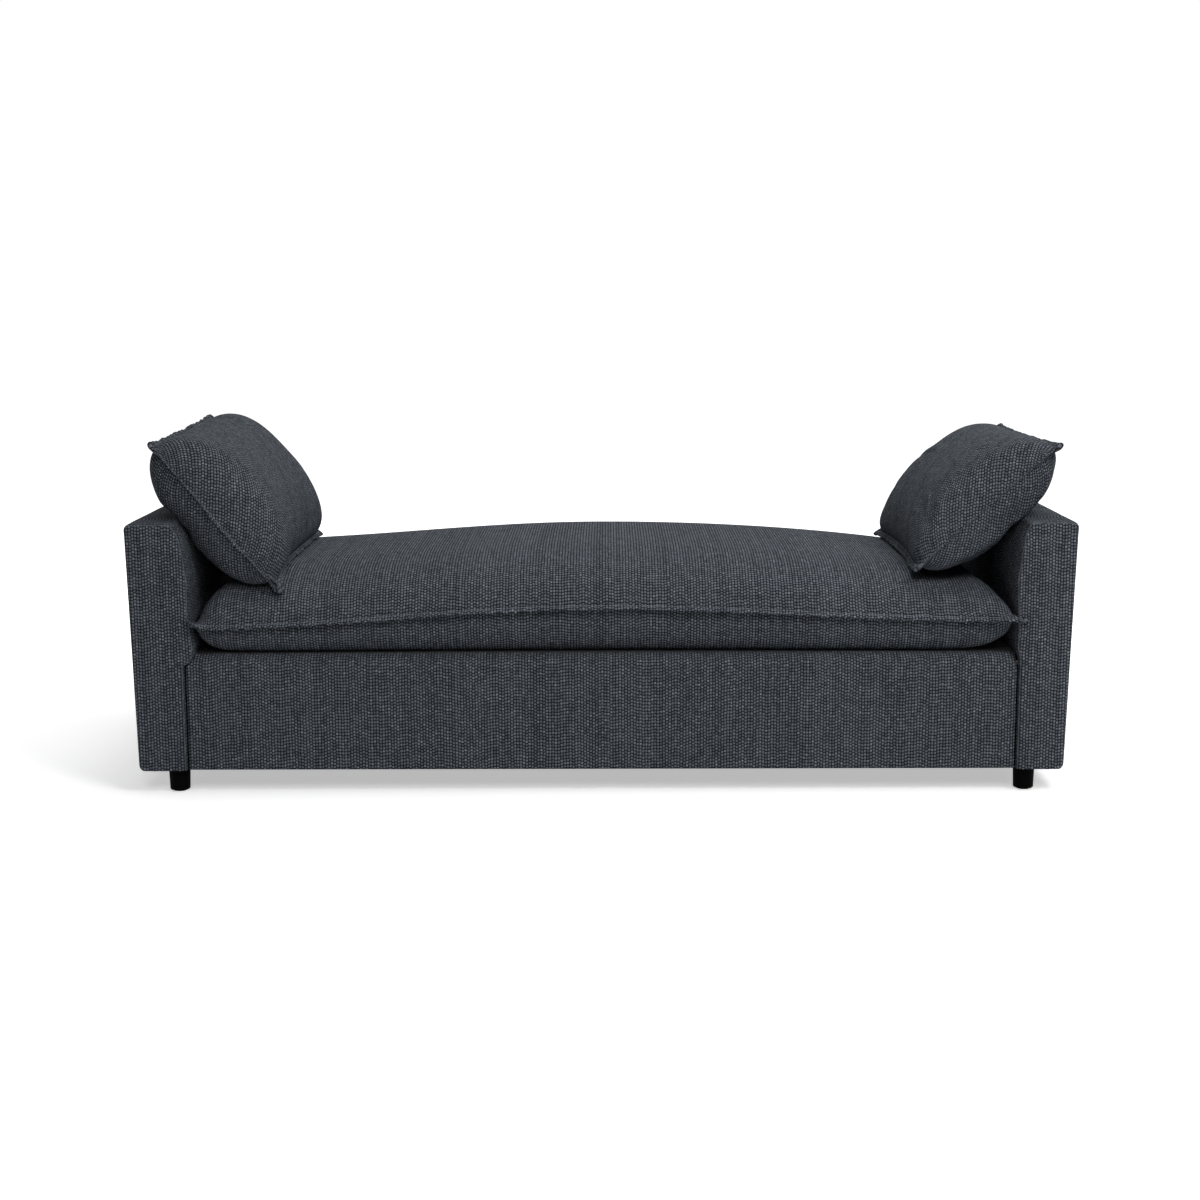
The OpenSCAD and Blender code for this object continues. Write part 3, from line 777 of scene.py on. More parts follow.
def build_grain(graph: Graph, at: Sockets) -> Sockets:
    """Wood grain: rings warped by noise and fine pores, both drawn out along the board.

    Args:
        graph: The group's graph.
        at: Its inputs.

    Returns:
        Its outputs.
    """
    drawn = graph.node("Mapping")
    graph.put(drawn.inputs["Vector"], at["Place"])
    graph.put(drawn.inputs["Scale"], graph.vector(*(at[f"Along {axis}"] for axis in "XYZ")))
    place = drawn.outputs[0]
    bands = graph.node("TexWave", wave_type="RINGS", rings_direction="SPHERICAL")
    graph.put(bands.inputs["Vector"], place)
    for socket, value in (("Scale", 26.0), ("Distortion", 7.0), ("Detail", 3.0)):
        bands.inputs[socket].default_value = value
    pores = graph.noise(place, scale=420.0, detail=4.0, rough=0.65)
    broad = graph.noise(place, scale=9.0)
    tone = graph.line(pores, gain=0.35, base=graph.times(broad, 0.3))
    return {"Tone": graph.line(bands.outputs["Fac"], gain=0.45, base=tone), "Height": pores}


def build_speckle(graph: Graph, at: Sockets) -> Sockets:
    """Fine speckle over soft clouds, for foam, fibre, board, lacquer and plated steel.

    Args:
        graph: The group's graph.
        at: Its inputs.

    Returns:
        Its outputs.
    """
    sized = graph.node("VectorMath", operation="SCALE")
    graph.put(sized.inputs[0], at["Place"])
    graph.put(sized.inputs["Scale"], at["Fineness"])
    fine = graph.noise(sized.outputs[0], scale=1.0, detail=4.0, rough=0.7)
    cells = graph.node("TexVoronoi")
    graph.put(cells.inputs["Vector"], sized.outputs[0])
    cells.inputs["Scale"].default_value = 1.6
    cloud = graph.noise(at["Place"], scale=6.0)
    tone = graph.line(fine, gain=0.6, base=graph.times(cloud, 0.4))
    return {"Tone": tone, "Height": graph.line(cells.outputs["Distance"], gain=0.5, base=fine)}


WEAVE = Effect(
    "nubby weave",
    (("Place", "Vector", 0.0), ("Column", "Float", 0.0068), ("Row", "Float", 0.0076)),
    (("Tone", "Float"), ("Fleck", "Float"), ("Height", "Float")),
    build_weave,
)
GRAIN = Effect(
    "wood grain",
    (("Place", "Vector", 0.0), *((f"Along {axis}", "Float", 1.0) for axis in "XYZ")),
    (("Tone", "Float"), ("Height", "Float")),
    build_grain,
)
SPECKLE = Effect(
    "speckle",
    (("Place", "Vector", 0.0), ("Fineness", "Float", 300.0)),
    (("Tone", "Float"), ("Height", "Float")),
    build_speckle,
)


# ---------------------------------------------------------------- finishes


@dataclass(frozen=True)
class Finish:
    """A finish: its slot in the record and the material that shows it."""

    name: str
    slot: Slot

    def material(self) -> bpy.types.Material:
        """Material of the finish, made at the first call.

        Returns:
            The material.
        """
        if self.name in bpy.data.materials:
            return bpy.data.materials[self.name]
        made = bpy.data.materials.new(self.name)
        made.use_nodes = True
        made.node_tree.nodes.clear()
        graph = Graph(made.node_tree)
        shader = graph.node("BsdfPrincipled")
        leave = graph.node("OutputMaterial")
        graph.put(leave.inputs["Surface"], shader.outputs[0])
        self.paint(graph, shader)
        return made

    def paint(self, graph: Graph, shader: bpy.types.Node) -> None:
        """Feeds the shader.

        Args:
            graph: The material's graph.
            shader: Its Principled BSDF.
        """
        raise NotImplementedError

    @staticmethod
    def coat(graph: Graph, shader: bpy.types.Node, colour: Socket, rough: Socket) -> None:
        """Feeds the shader's colour and roughness."""
        graph.put(shader.inputs["Base Color"], colour)
        graph.put(shader.inputs["Roughness"], rough)

    @staticmethod
    def raise_relief(
        graph: Graph, shader: bpy.types.Node, height: Value, depth: float, strength: float = 0.5
    ) -> None:
        """Feeds the shader's normal with a bump.

        Args:
            graph: The material's graph.
            shader: Its Principled BSDF.
            height: Height of the surface, 0 to 1.
            depth: What a height of 1 measures, in metres.
            strength: Strength of the bump.
        """
        bump = graph.node("Bump")
        bump.inputs["Strength"].default_value = strength
        bump.inputs["Distance"].default_value = depth
        graph.put(bump.inputs["Height"], height)
        graph.put(shader.inputs["Normal"], bump.outputs[0])


@dataclass(frozen=True)
class WovenCloth(Finish):
    """Charcoal upholstery cloth: upright nubby yarns with light flecks, on the cloth's own map."""

    dark: Colour = (0.0046, 0.0060, 0.0088)
    yarn: Colour = (0.1150, 0.1272, 0.1440)
    light: Colour = (0.2500, 0.2620, 0.2760)
    column: float = 6.8 * MM
    row: float = 7.6 * MM
    flecks: float = 0.50
    cloud_tone: tuple[float, float] = (0.14, 0.95)
    depth: float = 1.3 * MM
    shine: float = 0.02

    def paint(self, graph: Graph, shader: bpy.types.Node) -> None:
        """Feeds the shader with the weave; see Finish.paint."""
        place = graph.node("UVMap", uv_map="cloth").outputs[0]
        weave = WEAVE.place(graph, Place=place, Column=self.column, Row=self.row)
        cloud = graph.noise(graph.solid(), 7.0, 3.0, 0.55)
        tone = graph.times(weave["Tone"], graph.line(cloud, *self.cloud_tone))
        colour = graph.mix(tone, self.dark, self.yarn)
        colour = graph.mix(graph.times(weave["Fleck"], self.flecks), colour, self.light)
        self.coat(graph, shader, colour, graph.line(weave["Tone"], -0.12, 0.96))
        shader.inputs["Specular IOR Level"].default_value = self.shine
        self.raise_relief(graph, shader, weave["Height"], self.depth, 0.75)


@dataclass(frozen=True)
class Thread(Finish):
    """Sewing thread: twisted plies a little lighter than the cloth."""

    colour: Colour = (0.190, 0.203, 0.220)
    shade: float = 0.55
    fineness: float = 2200.0
    depth: float = 0.15 * MM

    def paint(self, graph: Graph, shader: bpy.types.Node) -> None:
        """Feeds the shader with fine twist; see Finish.paint."""
        twist = SPECKLE.place(graph, Place=graph.solid(), Fineness=self.fineness)
        deep = tuple(self.shade * c for c in self.colour)
        colour = graph.mix(twist["Tone"], deep, self.colour)
        self.coat(graph, shader, colour, graph.line(twist["Tone"], 0.2, 0.6))
        self.raise_relief(graph, shader, twist["Height"], self.depth, 0.6)


@dataclass(frozen=True)
class FlatWeave(Finish):
    """Plain cloth or strap: two sets of fine threads, on Object coordinates."""

    # Near-black default, used by the lining. It is darker than black cloth: partly the cloth's own
    # colour and partly painted shade for the gap under the cushion.
    low: Colour = (0.003, 0.003, 0.004)
    high: Colour = (0.012, 0.012, 0.014)
    pitch: float = 1.2 * MM
    depth: float = 0.25 * MM

    def paint(self, graph: Graph, shader: bpy.types.Node) -> None:
        """Feeds the shader with crossing threads; see Finish.paint."""
        solid = graph.solid()
        x, y, _ = graph.parts(solid)
        flat = graph.vector(x, y, 0.0)
        weave = WEAVE.place(graph, Place=flat, Column=self.pitch, Row=self.pitch)
        cloud = graph.noise(solid, 11.0, 3.0)
        share = graph.times(weave["Tone"], graph.line(cloud, 0.8, 0.6))
        colour = graph.mix(share, self.low, self.high)
        self.coat(graph, shader, colour, graph.line(cloud, 0.2, 0.75))
        self.raise_relief(graph, shader, weave["Height"], self.depth)


@dataclass(frozen=True)
class Timber(Finish):
    """Sawn timber with its grain along one axis."""

    low: Colour = (0.250, 0.135, 0.060)
    high: Colour = (0.520, 0.340, 0.180)
    along: str = "X"
    draw: float = 0.07
    depth: float = 0.3 * MM

    def paint(self, graph: Graph, shader: bpy.types.Node) -> None:
        """Feeds the shader with grain; see Finish.paint."""
        drawn = {f"Along_{axis}": self.draw if axis == self.along else 1.0 for axis in "XYZ"}
        grain = GRAIN.place(graph, Place=graph.solid(), **drawn)
        colour = graph.mix(grain["Tone"], self.low, self.high)
        self.coat(graph, shader, colour, graph.line(grain["Tone"], -0.2, 0.75))
        self.raise_relief(graph, shader, grain["Height"], self.depth)


@dataclass(frozen=True)
class Speckled(Finish):
    """A plain material with fine speckle: foam, fibre, board, lacquer or plated steel."""

    low: Colour = (0.5, 0.5, 0.5)
    high: Colour = (0.6, 0.6, 0.6)
    fineness: float = 300.0
    rough_low: float = 0.7
    rough_high: float = 0.9
    metallic: float = 0.0
    depth: float = 0.3 * MM
    shine: float = 0.5

    def paint(self, graph: Graph, shader: bpy.types.Node) -> None:
        """Feeds the shader with speckle; see Finish.paint."""
        spots = SPECKLE.place(graph, Place=graph.solid(), Fineness=self.fineness)
        colour = graph.mix(spots["Tone"], self.low, self.high)
        rise = self.rough_high - self.rough_low
        self.coat(graph, shader, colour, graph.line(spots["Tone"], rise, self.rough_low))
        shader.inputs["Metallic"].default_value = self.metallic
        shader.inputs["Specular IOR Level"].default_value = self.shine
        self.raise_relief(graph, shader, spots["Height"], self.depth)


UPHOLSTERY = WovenCloth("charcoal upholstery cloth", Slot.UPHOLSTERY)
SEAT_CLOTH = WovenCloth("charcoal seat cloth", Slot.SEAT_CLOTH)
PILLOW_CLOTH = WovenCloth("charcoal pillow cloth", Slot.PILLOW_CLOTH)
SEAT_THREAD = Thread("seat thread", Slot.SEAT_CLOTH)
PILLOW_THREAD = Thread("pillow thread", Slot.PILLOW_CLOTH)
# The lining's near-black colour is partly the black cloth's own and partly painted shade, so the
# gap under the cushion reads black.
LINING = FlatWeave("black lining cloth", Slot.BLACK_CLOTH)
STRAPS = FlatWeave(
    "elastic webbing", Slot.WEBBING, (0.02, 0.02, 0.02), (0.12, 0.11, 0.10), 2.6 * MM, 0.5 * MM
)
BOARD_X = Timber("sawn timber along the seat", Slot.TIMBER)
BOARD_Y = Timber("sawn timber front to back", Slot.TIMBER, along="Y")
BOARD_Z = Timber("sawn timber upright", Slot.TIMBER, along="Z")
FOAM = Speckled("foam", Slot.FOAM, (0.62, 0.56, 0.38), (0.78, 0.72, 0.52), 520.0, 0.85, 0.98)
FIBRE = Speckled(
    "white fibre", Slot.FIBRE, (0.68, 0.68, 0.66), (0.86, 0.86, 0.84), 140.0, 0.9, 1.0,
    depth=1.5 * MM,
)
FIBREBOARD = Speckled(
    "fibreboard", Slot.FIBREBOARD, (0.22, 0.14, 0.08), (0.36, 0.25, 0.15), 380.0, 0.75, 0.92
)
BLACK_LEG = Speckled(
    "black lacquered wood", Slot.BLACK_LEG, (0.0010, 0.0009, 0.0009), (0.0022, 0.0020, 0.0019),
    95.0, 0.55, 0.70, depth=0.12 * MM, shine=0.02,
)
GLIDE = Speckled("grey glide", Slot.GLIDE, (0.03, 0.03, 0.03), (0.06, 0.06, 0.06), 260.0, 0.5, 0.7)
ZINC = Speckled(
    "zinc plated steel", Slot.ZINC_STEEL, (0.52, 0.53, 0.55), (0.70, 0.71, 0.73),
    180.0, 0.28, 0.48, metallic=1.0, depth=0.05 * MM,
)


def both_sides(*parts: str) -> tuple[str, ...]:
    """Names of the nodes that the left and the right side have alike."""
    return tuple(f"{side.word}_{part}" for part in parts for side in Side)


FRAME_FINISHES: dict[Finish, tuple[str, ...]] = {
    BOARD_X: ("front_rail", "back_rail"),
    BOARD_Y: (
        *both_sides("side_rail", "arm_sill", "arm_top_rail", "arm_tack_rail"),
        "cross_rails", "middle_leg_block",
    ),
    BOARD_Z: ("corner_blocks", *both_sides("arm_front_post", "arm_back_post")),
    FIBREBOARD: both_sides("arm_inner_board", "arm_outer_board"),
    FOAM: ("deck_pad", "seat_core"),
    STRAPS: ("webbing_across", "webbing_along"),
    ZINC: ("frame_screws", "arm_bolts", "tee_nuts", "leg_bolts", "leg_plates", "plate_screws"),
    GLIDE: ("leg_glides",),
}


def dress_frame() -> None:
    """Gives each node of the frame that stays its own finish."""
    for finish, names in FRAME_FINISHES.items():
        for name in names:
            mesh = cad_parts[name].data
            mesh.materials.clear()
            mesh.materials.append(finish.material())
            LOG.info("%s: %s", name, finish.name)


# ---------------------------------------------------------------- sewing


@dataclass(frozen=True)
class Stitching:
    """A row of stitches that lies along a seam."""

    pitch: float = 8.5 * MM
    length: float = 6.0 * MM
    radius: float = 0.7 * MM
    lift: float = 0.25 * MM
    shares: tuple[float, ...] = (-1.0, -0.75, 0.0, 0.75, 1.0)
    around: int = 6
    bluntness: float = 1.06
    bow: float = 0.45
    sunk: float = 0.25

    def row(self, path: Array, up: Array) -> Array:
        """Stitches along a closed path: each is a slim spindle, sunk at its ends.

        The spindle's radius is the full one times the root of (1.06 - t to the fourth). Its
        middle line rises by 0.45 of the radius times (1 - t squared), less a quarter of the
        radius, t running from -1 to 1.

        Args:
            path: Places along the seam.
            up: Direction away from the cloth at each place.

        Returns:
            Grid of each stitch: stitches by 5 rings by 6 points by 3.
        """
        path, up = np.concatenate([path, path[:1]]), np.concatenate([up, up[:1]])
        walked = np.concatenate([[0.0], np.cumsum(np.linalg.norm(np.diff(path, axis=0), axis=1))])
        count = max(int(walked[-1] / self.pitch), 2)
        middles = (np.arange(count) + 0.5) * walked[-1] / count
        t = np.array(self.shares)
        spots = middles[:, None] + t * self.length / 2
        line = np.stack([np.interp(spots, walked, path[:, k]) for k in range(3)], -1)
        rise = unit(np.stack([np.interp(spots, walked, up[:, k]) for k in range(3)], -1))
        way = unit(line[:, -1:] - line[:, :1])
        aside = unit(np.cross(way, rise))
        wide = self.radius * np.sqrt(np.clip(self.bluntness - t**4, 0.0, None))[:, None, None]
        bow = self.radius * (self.bow * (1.0 - t**2) - self.sunk)[:, None]
        angle = np.linspace(0.0, 2.0 * np.pi, self.around, endpoint=False)[:, None]
        ring = wide * (np.cos(angle) * aside[:, :, None] + np.sin(angle) * rise[:, :, None])
        return (line + bow * rise)[:, :, None] + ring

    def make(self, name: str, rings: Array, up: Array) -> bpy.types.Object:
        """Makes the stitches on both sides of a flange one piece.

        Args:
            name: Name of the piece.
            rings: Rings of the flange.
            up: Direction across the seam at each place.

        Returns:
            The piece.
        """
        rows = [
            self.row(0.5 * (rings[line] + rings[beside]) + self.lift * way, way)
            for line, beside, way in ((0, 1, up), (-1, -2, -up))
        ]
        return strands(name, np.concatenate(rows), True)


@dataclass(frozen=True)
class Inflation:
    """Cloth run that fills a sewn form and gives the small folds that its slack cloth makes."""

    pressure: float = 4.0
    slack: float = 0.03
    bending: float = 0.4
    frames: int = 20
    cap: float = 24.0 * MM
    quality: int = 5
    mass: float = 0.35
    stretch: float = 12.0
    shear: float = 4.0
    damping: float = 3.0

    def set_up(self, cloth: bpy.types.ClothModifier) -> None:
        """Gives the cloth its stiffness, slack and pressure, without gravity.

        Args:
            cloth: The cloth modifier of a sewn form.
        """
        how = cloth.settings
        how.quality = self.quality
        how.mass = self.mass
        how.tension_stiffness = self.stretch
        how.compression_stiffness = self.stretch
        how.shear_stiffness = self.shear
        how.bending_stiffness = self.bending
        how.air_damping = self.damping
        how.use_pressure = True
        how.uniform_pressure_force = self.pressure
        how.shrink_min = -self.slack
        how.shrink_max = -self.slack
        how.vertex_group_mass = "seam"
        how.effector_weights.gravity = 0.0
        cloth.collision_settings.use_collision = False
        cloth.point_cache.frame_start = 1
        cloth.point_cache.frame_end = self.frames

    def folds(self, top: Array, low: Array, name: str) -> tuple[Array, Array]:
        """Movement of each point of a form whose rim is held.

        Args:
            top: Upper grid.
            low: Lower grid, with the same rim.
            name: Name of the run's own objects.

        Returns:
            Movement of the upper and of the lower grid, held within the cap.
        """
        rows, columns = top.shape[:2]
        top_ids = np.arange(rows * columns).reshape(rows, columns)
        low_ids = top_ids.copy()
        own = np.arange((rows - 2) * (columns - 2)).reshape(rows - 2, -1)
        low_ids[1:-1, 1:-1] = rows * columns + own
        points = np.concatenate([top.reshape(-1, 3), low[1:-1, 1:-1].reshape(-1, 3)])
        quads = np.concatenate([grid_quads(top_ids), grid_quads(low_ids)[:, ::-1]])
        mesh = bpy.data.meshes.new(name)
        mesh.from_pydata(points.tolist(), [], quads.tolist())
        body = placed(name, mesh)
        held = body.vertex_groups.new(name="seam")
        held.add(ring_of(top_ids).tolist(), 1.0, "REPLACE")
        self.set_up(body.modifiers.new("Cloth", "CLOTH"))
        scene = bpy.context.scene
        for number in range(1, self.frames + 1):
            scene.frame_set(number)
        filled = body.evaluated_get(bpy.context.evaluated_depsgraph_get())
        shape = np.empty(len(points) * 3, np.float32)
        filled.data.vertices.foreach_get("co", shape)
        bpy.data.objects.remove(body)
        bpy.data.meshes.remove(mesh)
        scene.frame_set(1)
        moved = np.nan_to_num(shape.reshape(-1, 3) - points)
        length = np.linalg.norm(moved, axis=1, keepdims=True)
        LOG.info("%s: cloth moved %.1f mm at most", name, 1000.0 * float(length.max()))
        moved *= np.minimum(1.0, self.cap / np.maximum(length, TINY))
        return moved[top_ids], moved[low_ids]


BORDER_SHARES = np.array([0.0, 0.22, 0.5, 0.82, 1.0, 0.82, 0.5, 0.22, 0.0])
BORDER_SIGNS = np.array([1.0, 1.0, 1.0, 1.0, 0.0, -1.0, -1.0, -1.0, -1.0])
BORDER_WALK = np.array([0.0, 0.22, 0.5, 0.82, 1.0, 1.18, 1.5, 1.78, 2.0])


@dataclass(frozen=True)
class Flange:
    """Flat topstitched border that stands out of a seam all round."""

    width: float = 14.0 * MM
    half: float = 2.6 * MM
    droop: float = 1.5 * MM
    wave: float = 1.2 * MM
    wave_length: float = 90.0 * MM
    edge_wave: float = 1.0 * MM
    ear: float = 1.2
    ear_reach: float = 18.0 * MM
    curl: float = 0.0
    narrow: float = 0.0
    narrow_front: float = 0.0
    wide_corner: float = 0.6
    fine_wave: float = 0.4
    fine_length: float = 0.45
    root: float = 0.3
    root_rise: float = 2.8
    end_droop: float = 0.2
    seed: int = 3
    pulls: tuple[tuple[float, ...], ...] = ()

    def rings(self, rim: Array, up: Array) -> Array:
        """Rings of the border, from the upper stitch line over its edge to the lower one.

        At share r of the way out the half thickness is half times a rise over the first third
        and the root of (1 - r to the sixth). It grows by curl, and the width by ear, over a bell
        curve round each corner. Narrow takes its share of the width away at the ends of the
        seam, and narrow_front along its front side. The border sinks by droop times r to the
        power 1.2, less at the ends, and waves by wave times r. Each pull draws the edge near a
        place its own way: its six numbers are the place in X and Y, its reach, and the way in
        X, Y and Z.

        Args:
            rim: Closed ring of places on the stitch line.
            up: Direction across the seam at each place.

        Returns:
            Grid of nine rings.
        """
        out = facing_out(rim, unit(np.cross(unit(ring_steps(rim)), up)))
        arrive = unit(rim - np.roll(rim, 1, axis=0))
        tips = rim[np.argsort(1.0 - (arrive * np.roll(arrive, -1, axis=0)).sum(axis=1))[-4:]]
        away = np.linalg.norm(rim[:, None] - tips[None], axis=2).min(axis=1)
        corner = np.exp(-((away / self.ear_reach) ** 2))[:, None]
        side = ripple(rim, self.wave_length, self.seed)[:, None]
        fine = ripple(rim, self.fine_length * self.wave_length, self.seed + 1)[:, None]
        to_end, to_front = np.abs(out[:, :1]), np.maximum(-out[:, 1:2], 0.0)
        width = self.width * (1.0 + (self.ear - 1.0) * corner) + self.edge_wave * fine
        width = width * (1.0 - self.narrow * to_end * (1.0 - self.wide_corner * corner))
        width = width * (1.0 - self.narrow_front * to_front * (1.0 - corner))
        hanging = self.end_droop + (1.0 - self.end_droop) * np.abs(out[:, 1:2])
        rows = []
        for share, sign in zip(BORDER_SHARES, BORDER_SIGNS):
            thick = self.half * (1.0 + self.curl * corner) * np.sqrt(1.0 - share**6)
            thick = thick * min(self.root + self.root_rise * share, 1.0)
            sink = self.droop * share**1.2 * hanging
            lift = sign * thick - sink + self.wave * (side + self.fine_wave * fine) * share
            rows.append(rim + out * width * share + up * lift)
        rings = np.stack(rows)
        for x, y, reach, *way in self.pulls:
            near = np.exp(-((rim[:, 0] - x) ** 2 + (rim[:, 1] - y) ** 2) / reach**2)
            rings += (BORDER_SHARES[:, None] * near[None])[..., None] * np.array(way)
        return rings


@dataclass
class SewnForm:
    """A cushion of two panels: the grids of its faces, the way across its seam, and its flange."""

    top: Array
    low: Array
    up: Array
    flange: Flange
    cloth_turn: float = 0.0

    def cloth_map(self, grid: Array, turn: float) -> Array:
        """Place of each point on the flat cloth: the walked lengths both ways, turned.

        Args:
            grid: Grid of a face.
            turn: Turn of the cloth on the face.

        Returns:
            Cloth coordinates in metres.
        """
        across, along = path_lengths(grid, 0), path_lengths(grid, 1)
        c, s = np.cos(turn), np.sin(turn)
        return np.stack([c * across + s * along, c * along - s * across], -1)

    def border_map(self, edge: Array) -> Array:
        """Cloth coordinates of the flange: it goes on outwards from the upper face's own edge.

        Args:
            edge: Cloth coordinates of the upper face's rim.

        Returns:
            Coordinates of each ring, with its first place again at the end.
        """
        along = ring_steps(edge)
        outward = unit(np.stack([along[:, 1], -along[:, 0]], -1)) * self.flange.width
        outward = facing_out(edge, outward)
        edge, outward = (np.concatenate([part, part[:1]]) for part in (edge, outward))
        return edge[None] + outward[None] * BORDER_WALK[:, None, None]

    def make(
        self, name: str, hold: Hold, settle: Optional[Hold] = None
    ) -> tuple[bpy.types.Object, Array]:
        """Sews the faces and the flange into one closed piece.

        Args:
            name: Name of the piece.
            hold: Keeps points clear of what the cushion rests on.
            settle: Lays the flange down on what it hangs over.

        Returns:
            The piece and the rings of its flange.
        """
        rim, up = ring_of(self.top), ring_of(self.up)
        rings = self.flange.rings(rim, up)
        rings = hold(settle(rings) if settle else rings)
        top, low = hold(self.top), hold(self.low)
        lay_ring(top, rings[0])
        lay_ring(low, rings[-1])
        panels = Panels()
        map_top = self.cloth_map(top, self.cloth_turn)
        panels.add(top, map_top)
        panels.add(low, self.cloth_map(low, -self.cloth_turn))
        strip = np.concatenate([rings, rings[:, :1]], axis=1)
        panels.add(strip, self.border_map(ring_of(map_top)))
        return panels.sew(name), rings


# ---------------------------------------------------------------- upholstered frame


@dataclass
class Arm:
    """One upholstered arm: a padded slab with a full inner face, drawn for the right side."""

    side: Side
    half_w: float = 1090.0 * MM
    half_d: float = 455.0 * MM
    top_z: float = 635.0 * MM
    hem_z: float = 56.0 * MM
    deck_z: float = 327.0 * MM
    deck_band: tuple[float, float] = (-30.0 * MM, 12.0 * MM)
    foot_z: float = 55.0 * MM
    seam_x: float = 967.0 * MM
    top_in_x: float = 980.0 * MM
    inner_z: tuple[float, ...] = (0.300, 0.318, 0.329, 0.360, 0.430, 0.500, 0.567, 0.603, 0.635)
    inner: tuple[float, ...] = (0.967, 0.967, 0.963, 0.9585, 0.9565, 0.9535, 0.9615, 0.969, 0.980)
    soft: float = 9.0 * MM
    soft_run: float = 75.0 * MM
    lean: float = 14.0 * MM
    edge_r: float = 9.0 * MM
    outer_r: float = 14.0 * MM
    hem_r: float = 13.0 * MM
    hem_fold: float = 24.0 * MM
    crown: float = 1.5 * MM
    groove: float = 0.9 * MM
    pad_hem_z: float = 60.0 * MM
    board_in_x: float = 970.7 * MM
    board_out_x: float = 1070.3 * MM
    rail_in_x: float = 983.7 * MM
    rail_h: float = 22.6 * MM
    board_top: float = 615.3 * MM
    board_y: float = 441.3 * MM
    board_gap: float = 4.2 * MM
    pad_inset: float = 2.4 * MM
    end_run: float = 53.0 * MM
    least_r: float = 0.8 * MM
    fade: float = 60.0 * MM
    ring_turns: tuple[float, ...] = (0.0, 12.0, 24.0, 36.0, 46.0, 50.0, 54.0, 64.0, 76.0, 90.0)
    groove_ring: int = 5
    hem_ring: int = 10

    def outer_x(self, z: Array) -> Array:
        """Outer face at height z: it leans out in a straight line."""
        return self.half_w - self.lean * (self.top_z - z) / (self.top_z - self.foot_z)

    def inner_x(self, z: Array) -> Array:
        """Inner face at height z, smoothed between the places that are given.

        Args:
            z: Heights.

        Returns:
            X of the face.
        """
        near = np.array([-5.0, -2.5, 0.0, 2.5, 5.0]) * MM
        return np.mean([np.interp(z + step, self.inner_z, self.inner) for step in near], axis=0)

    def softened(self, points: Array) -> Array:
        """How far the front and back edges of the inner face give way: soft times eased shares.

        The shares run towards the end of the arm, away from the deck and the top, and down to
        nothing 53 mm into the end face. Beside the boards the cover stays clear of them.

        Args:
            points: Places on the arm.

        Returns:
            Movement in X of each.
        """
        x, y, z = points.T
        inside = np.clip(1.0 - (x - self.inner_x(z)) / self.end_run, 0.0, 1.0)
        upright = smooth_step(z, self.deck_z, self.deck_z + self.fade)
        upright = upright * smooth_step(z, self.top_z, self.top_z - self.fade)
        to_end = smooth_step(np.abs(y), self.half_d - self.soft_run, self.half_d)
        room = np.maximum(self.board_in_x - self.board_gap - self.inner_x(z), 0.0)
        past = smooth_step(np.abs(y), self.board_y - 2.0 * MM, self.half_d - 2.0 * MM)
        return inside * np.minimum(self.soft * upright * to_end, room + self.soft * past)

    def outline(self, inset: float) -> Array:
        """Outline in X and Z, drawn in by inset, from the outer hem over the top to the inner hem.

        Its corners are quarter circles: hem_r at the outer hem, outer_r and edge_r at the top. The
        places on both side faces crowd near the height of the deck.

        Args:
            inset: Distance drawn in.

        Returns:
            Points, the same number on each half.
        """
        r, outer_r, hem_r = (
            max(radius - inset, self.least_r) for radius in (self.edge_r, self.outer_r, self.hem_r)
        )
        top = self.top_z - inset
        from_x = float(self.outer_x(np.array(top))) - inset - outer_r
        to_x = self.top_in_x + inset + r
        low_x = float(self.outer_x(np.array(self.hem_z + hem_r))) - inset
        turn = np.linspace(0.0, 0.5 * np.pi, 8)
        sin, cos = np.sin(turn), np.cos(turn)
        low, high = (self.deck_z + off for off in self.deck_band)
        rise = np.concatenate([
            np.linspace(self.hem_z, low, 16)[1:], np.linspace(low, high, 12)[1:],
            np.linspace(high, top - r, 22)[1:-1],
        ])
        share = (rise - self.hem_z) / (top - r - self.hem_z)
        z_out = self.hem_z + hem_r + (top - outer_r - self.hem_z - hem_r) * share
        z_in = rise[::-1]
        across = np.linspace(0.0, 1.0, 13)[1:-1]
        parts = [
            (low_x - hem_r * (1.0 - sin), self.hem_z + hem_r * (1.0 - cos)),
            (self.outer_x(z_out) - inset, z_out),
            (from_x + outer_r * cos, top - outer_r + outer_r * sin),
            (from_x + (to_x - from_x) * across, np.full_like(across, top)),
            (to_x - r * sin, top - r + r * cos),
            (self.inner_x(z_in) + inset, z_in),
            (np.full(8, self.seam_x + inset), np.linspace(self.hem_z + 1.2 * MM, self.hem_z, 8)),
        ]
        return np.concatenate([np.stack(part, -1) for part in parts])

    def puffed(self, wrap: Array) -> Array:
        """Wrap whose padding stands out here and there: two ripples along its normal.

        The ripples fade out towards the ends of the arm and towards its hem.

        Args:
            wrap: Grid of the wrap.

        Returns:
            The grid moved.
        """
        seed = self.side.value
        puff = ripple(wrap, 0.26, 11 + seed) * 0.7 * MM + ripple(wrap, 0.09, 17 + seed) * 0.22 * MM
        normal = unit(np.cross(np.gradient(wrap, axis=0), np.gradient(wrap, axis=1)))
        centre = np.array([0.5 * (self.half_w + self.seam_x), 0.0, 0.3])
        normal *= np.sign(((wrap - centre) * normal).sum(-1).mean())
        calm = smooth_step(np.abs(wrap[..., 1]), self.half_d, self.half_d - self.fade)
        calm = calm * smooth_step(wrap[..., 2], self.hem_z, self.hem_z + self.fade)
        return wrap + normal * (puff * calm)[..., None]

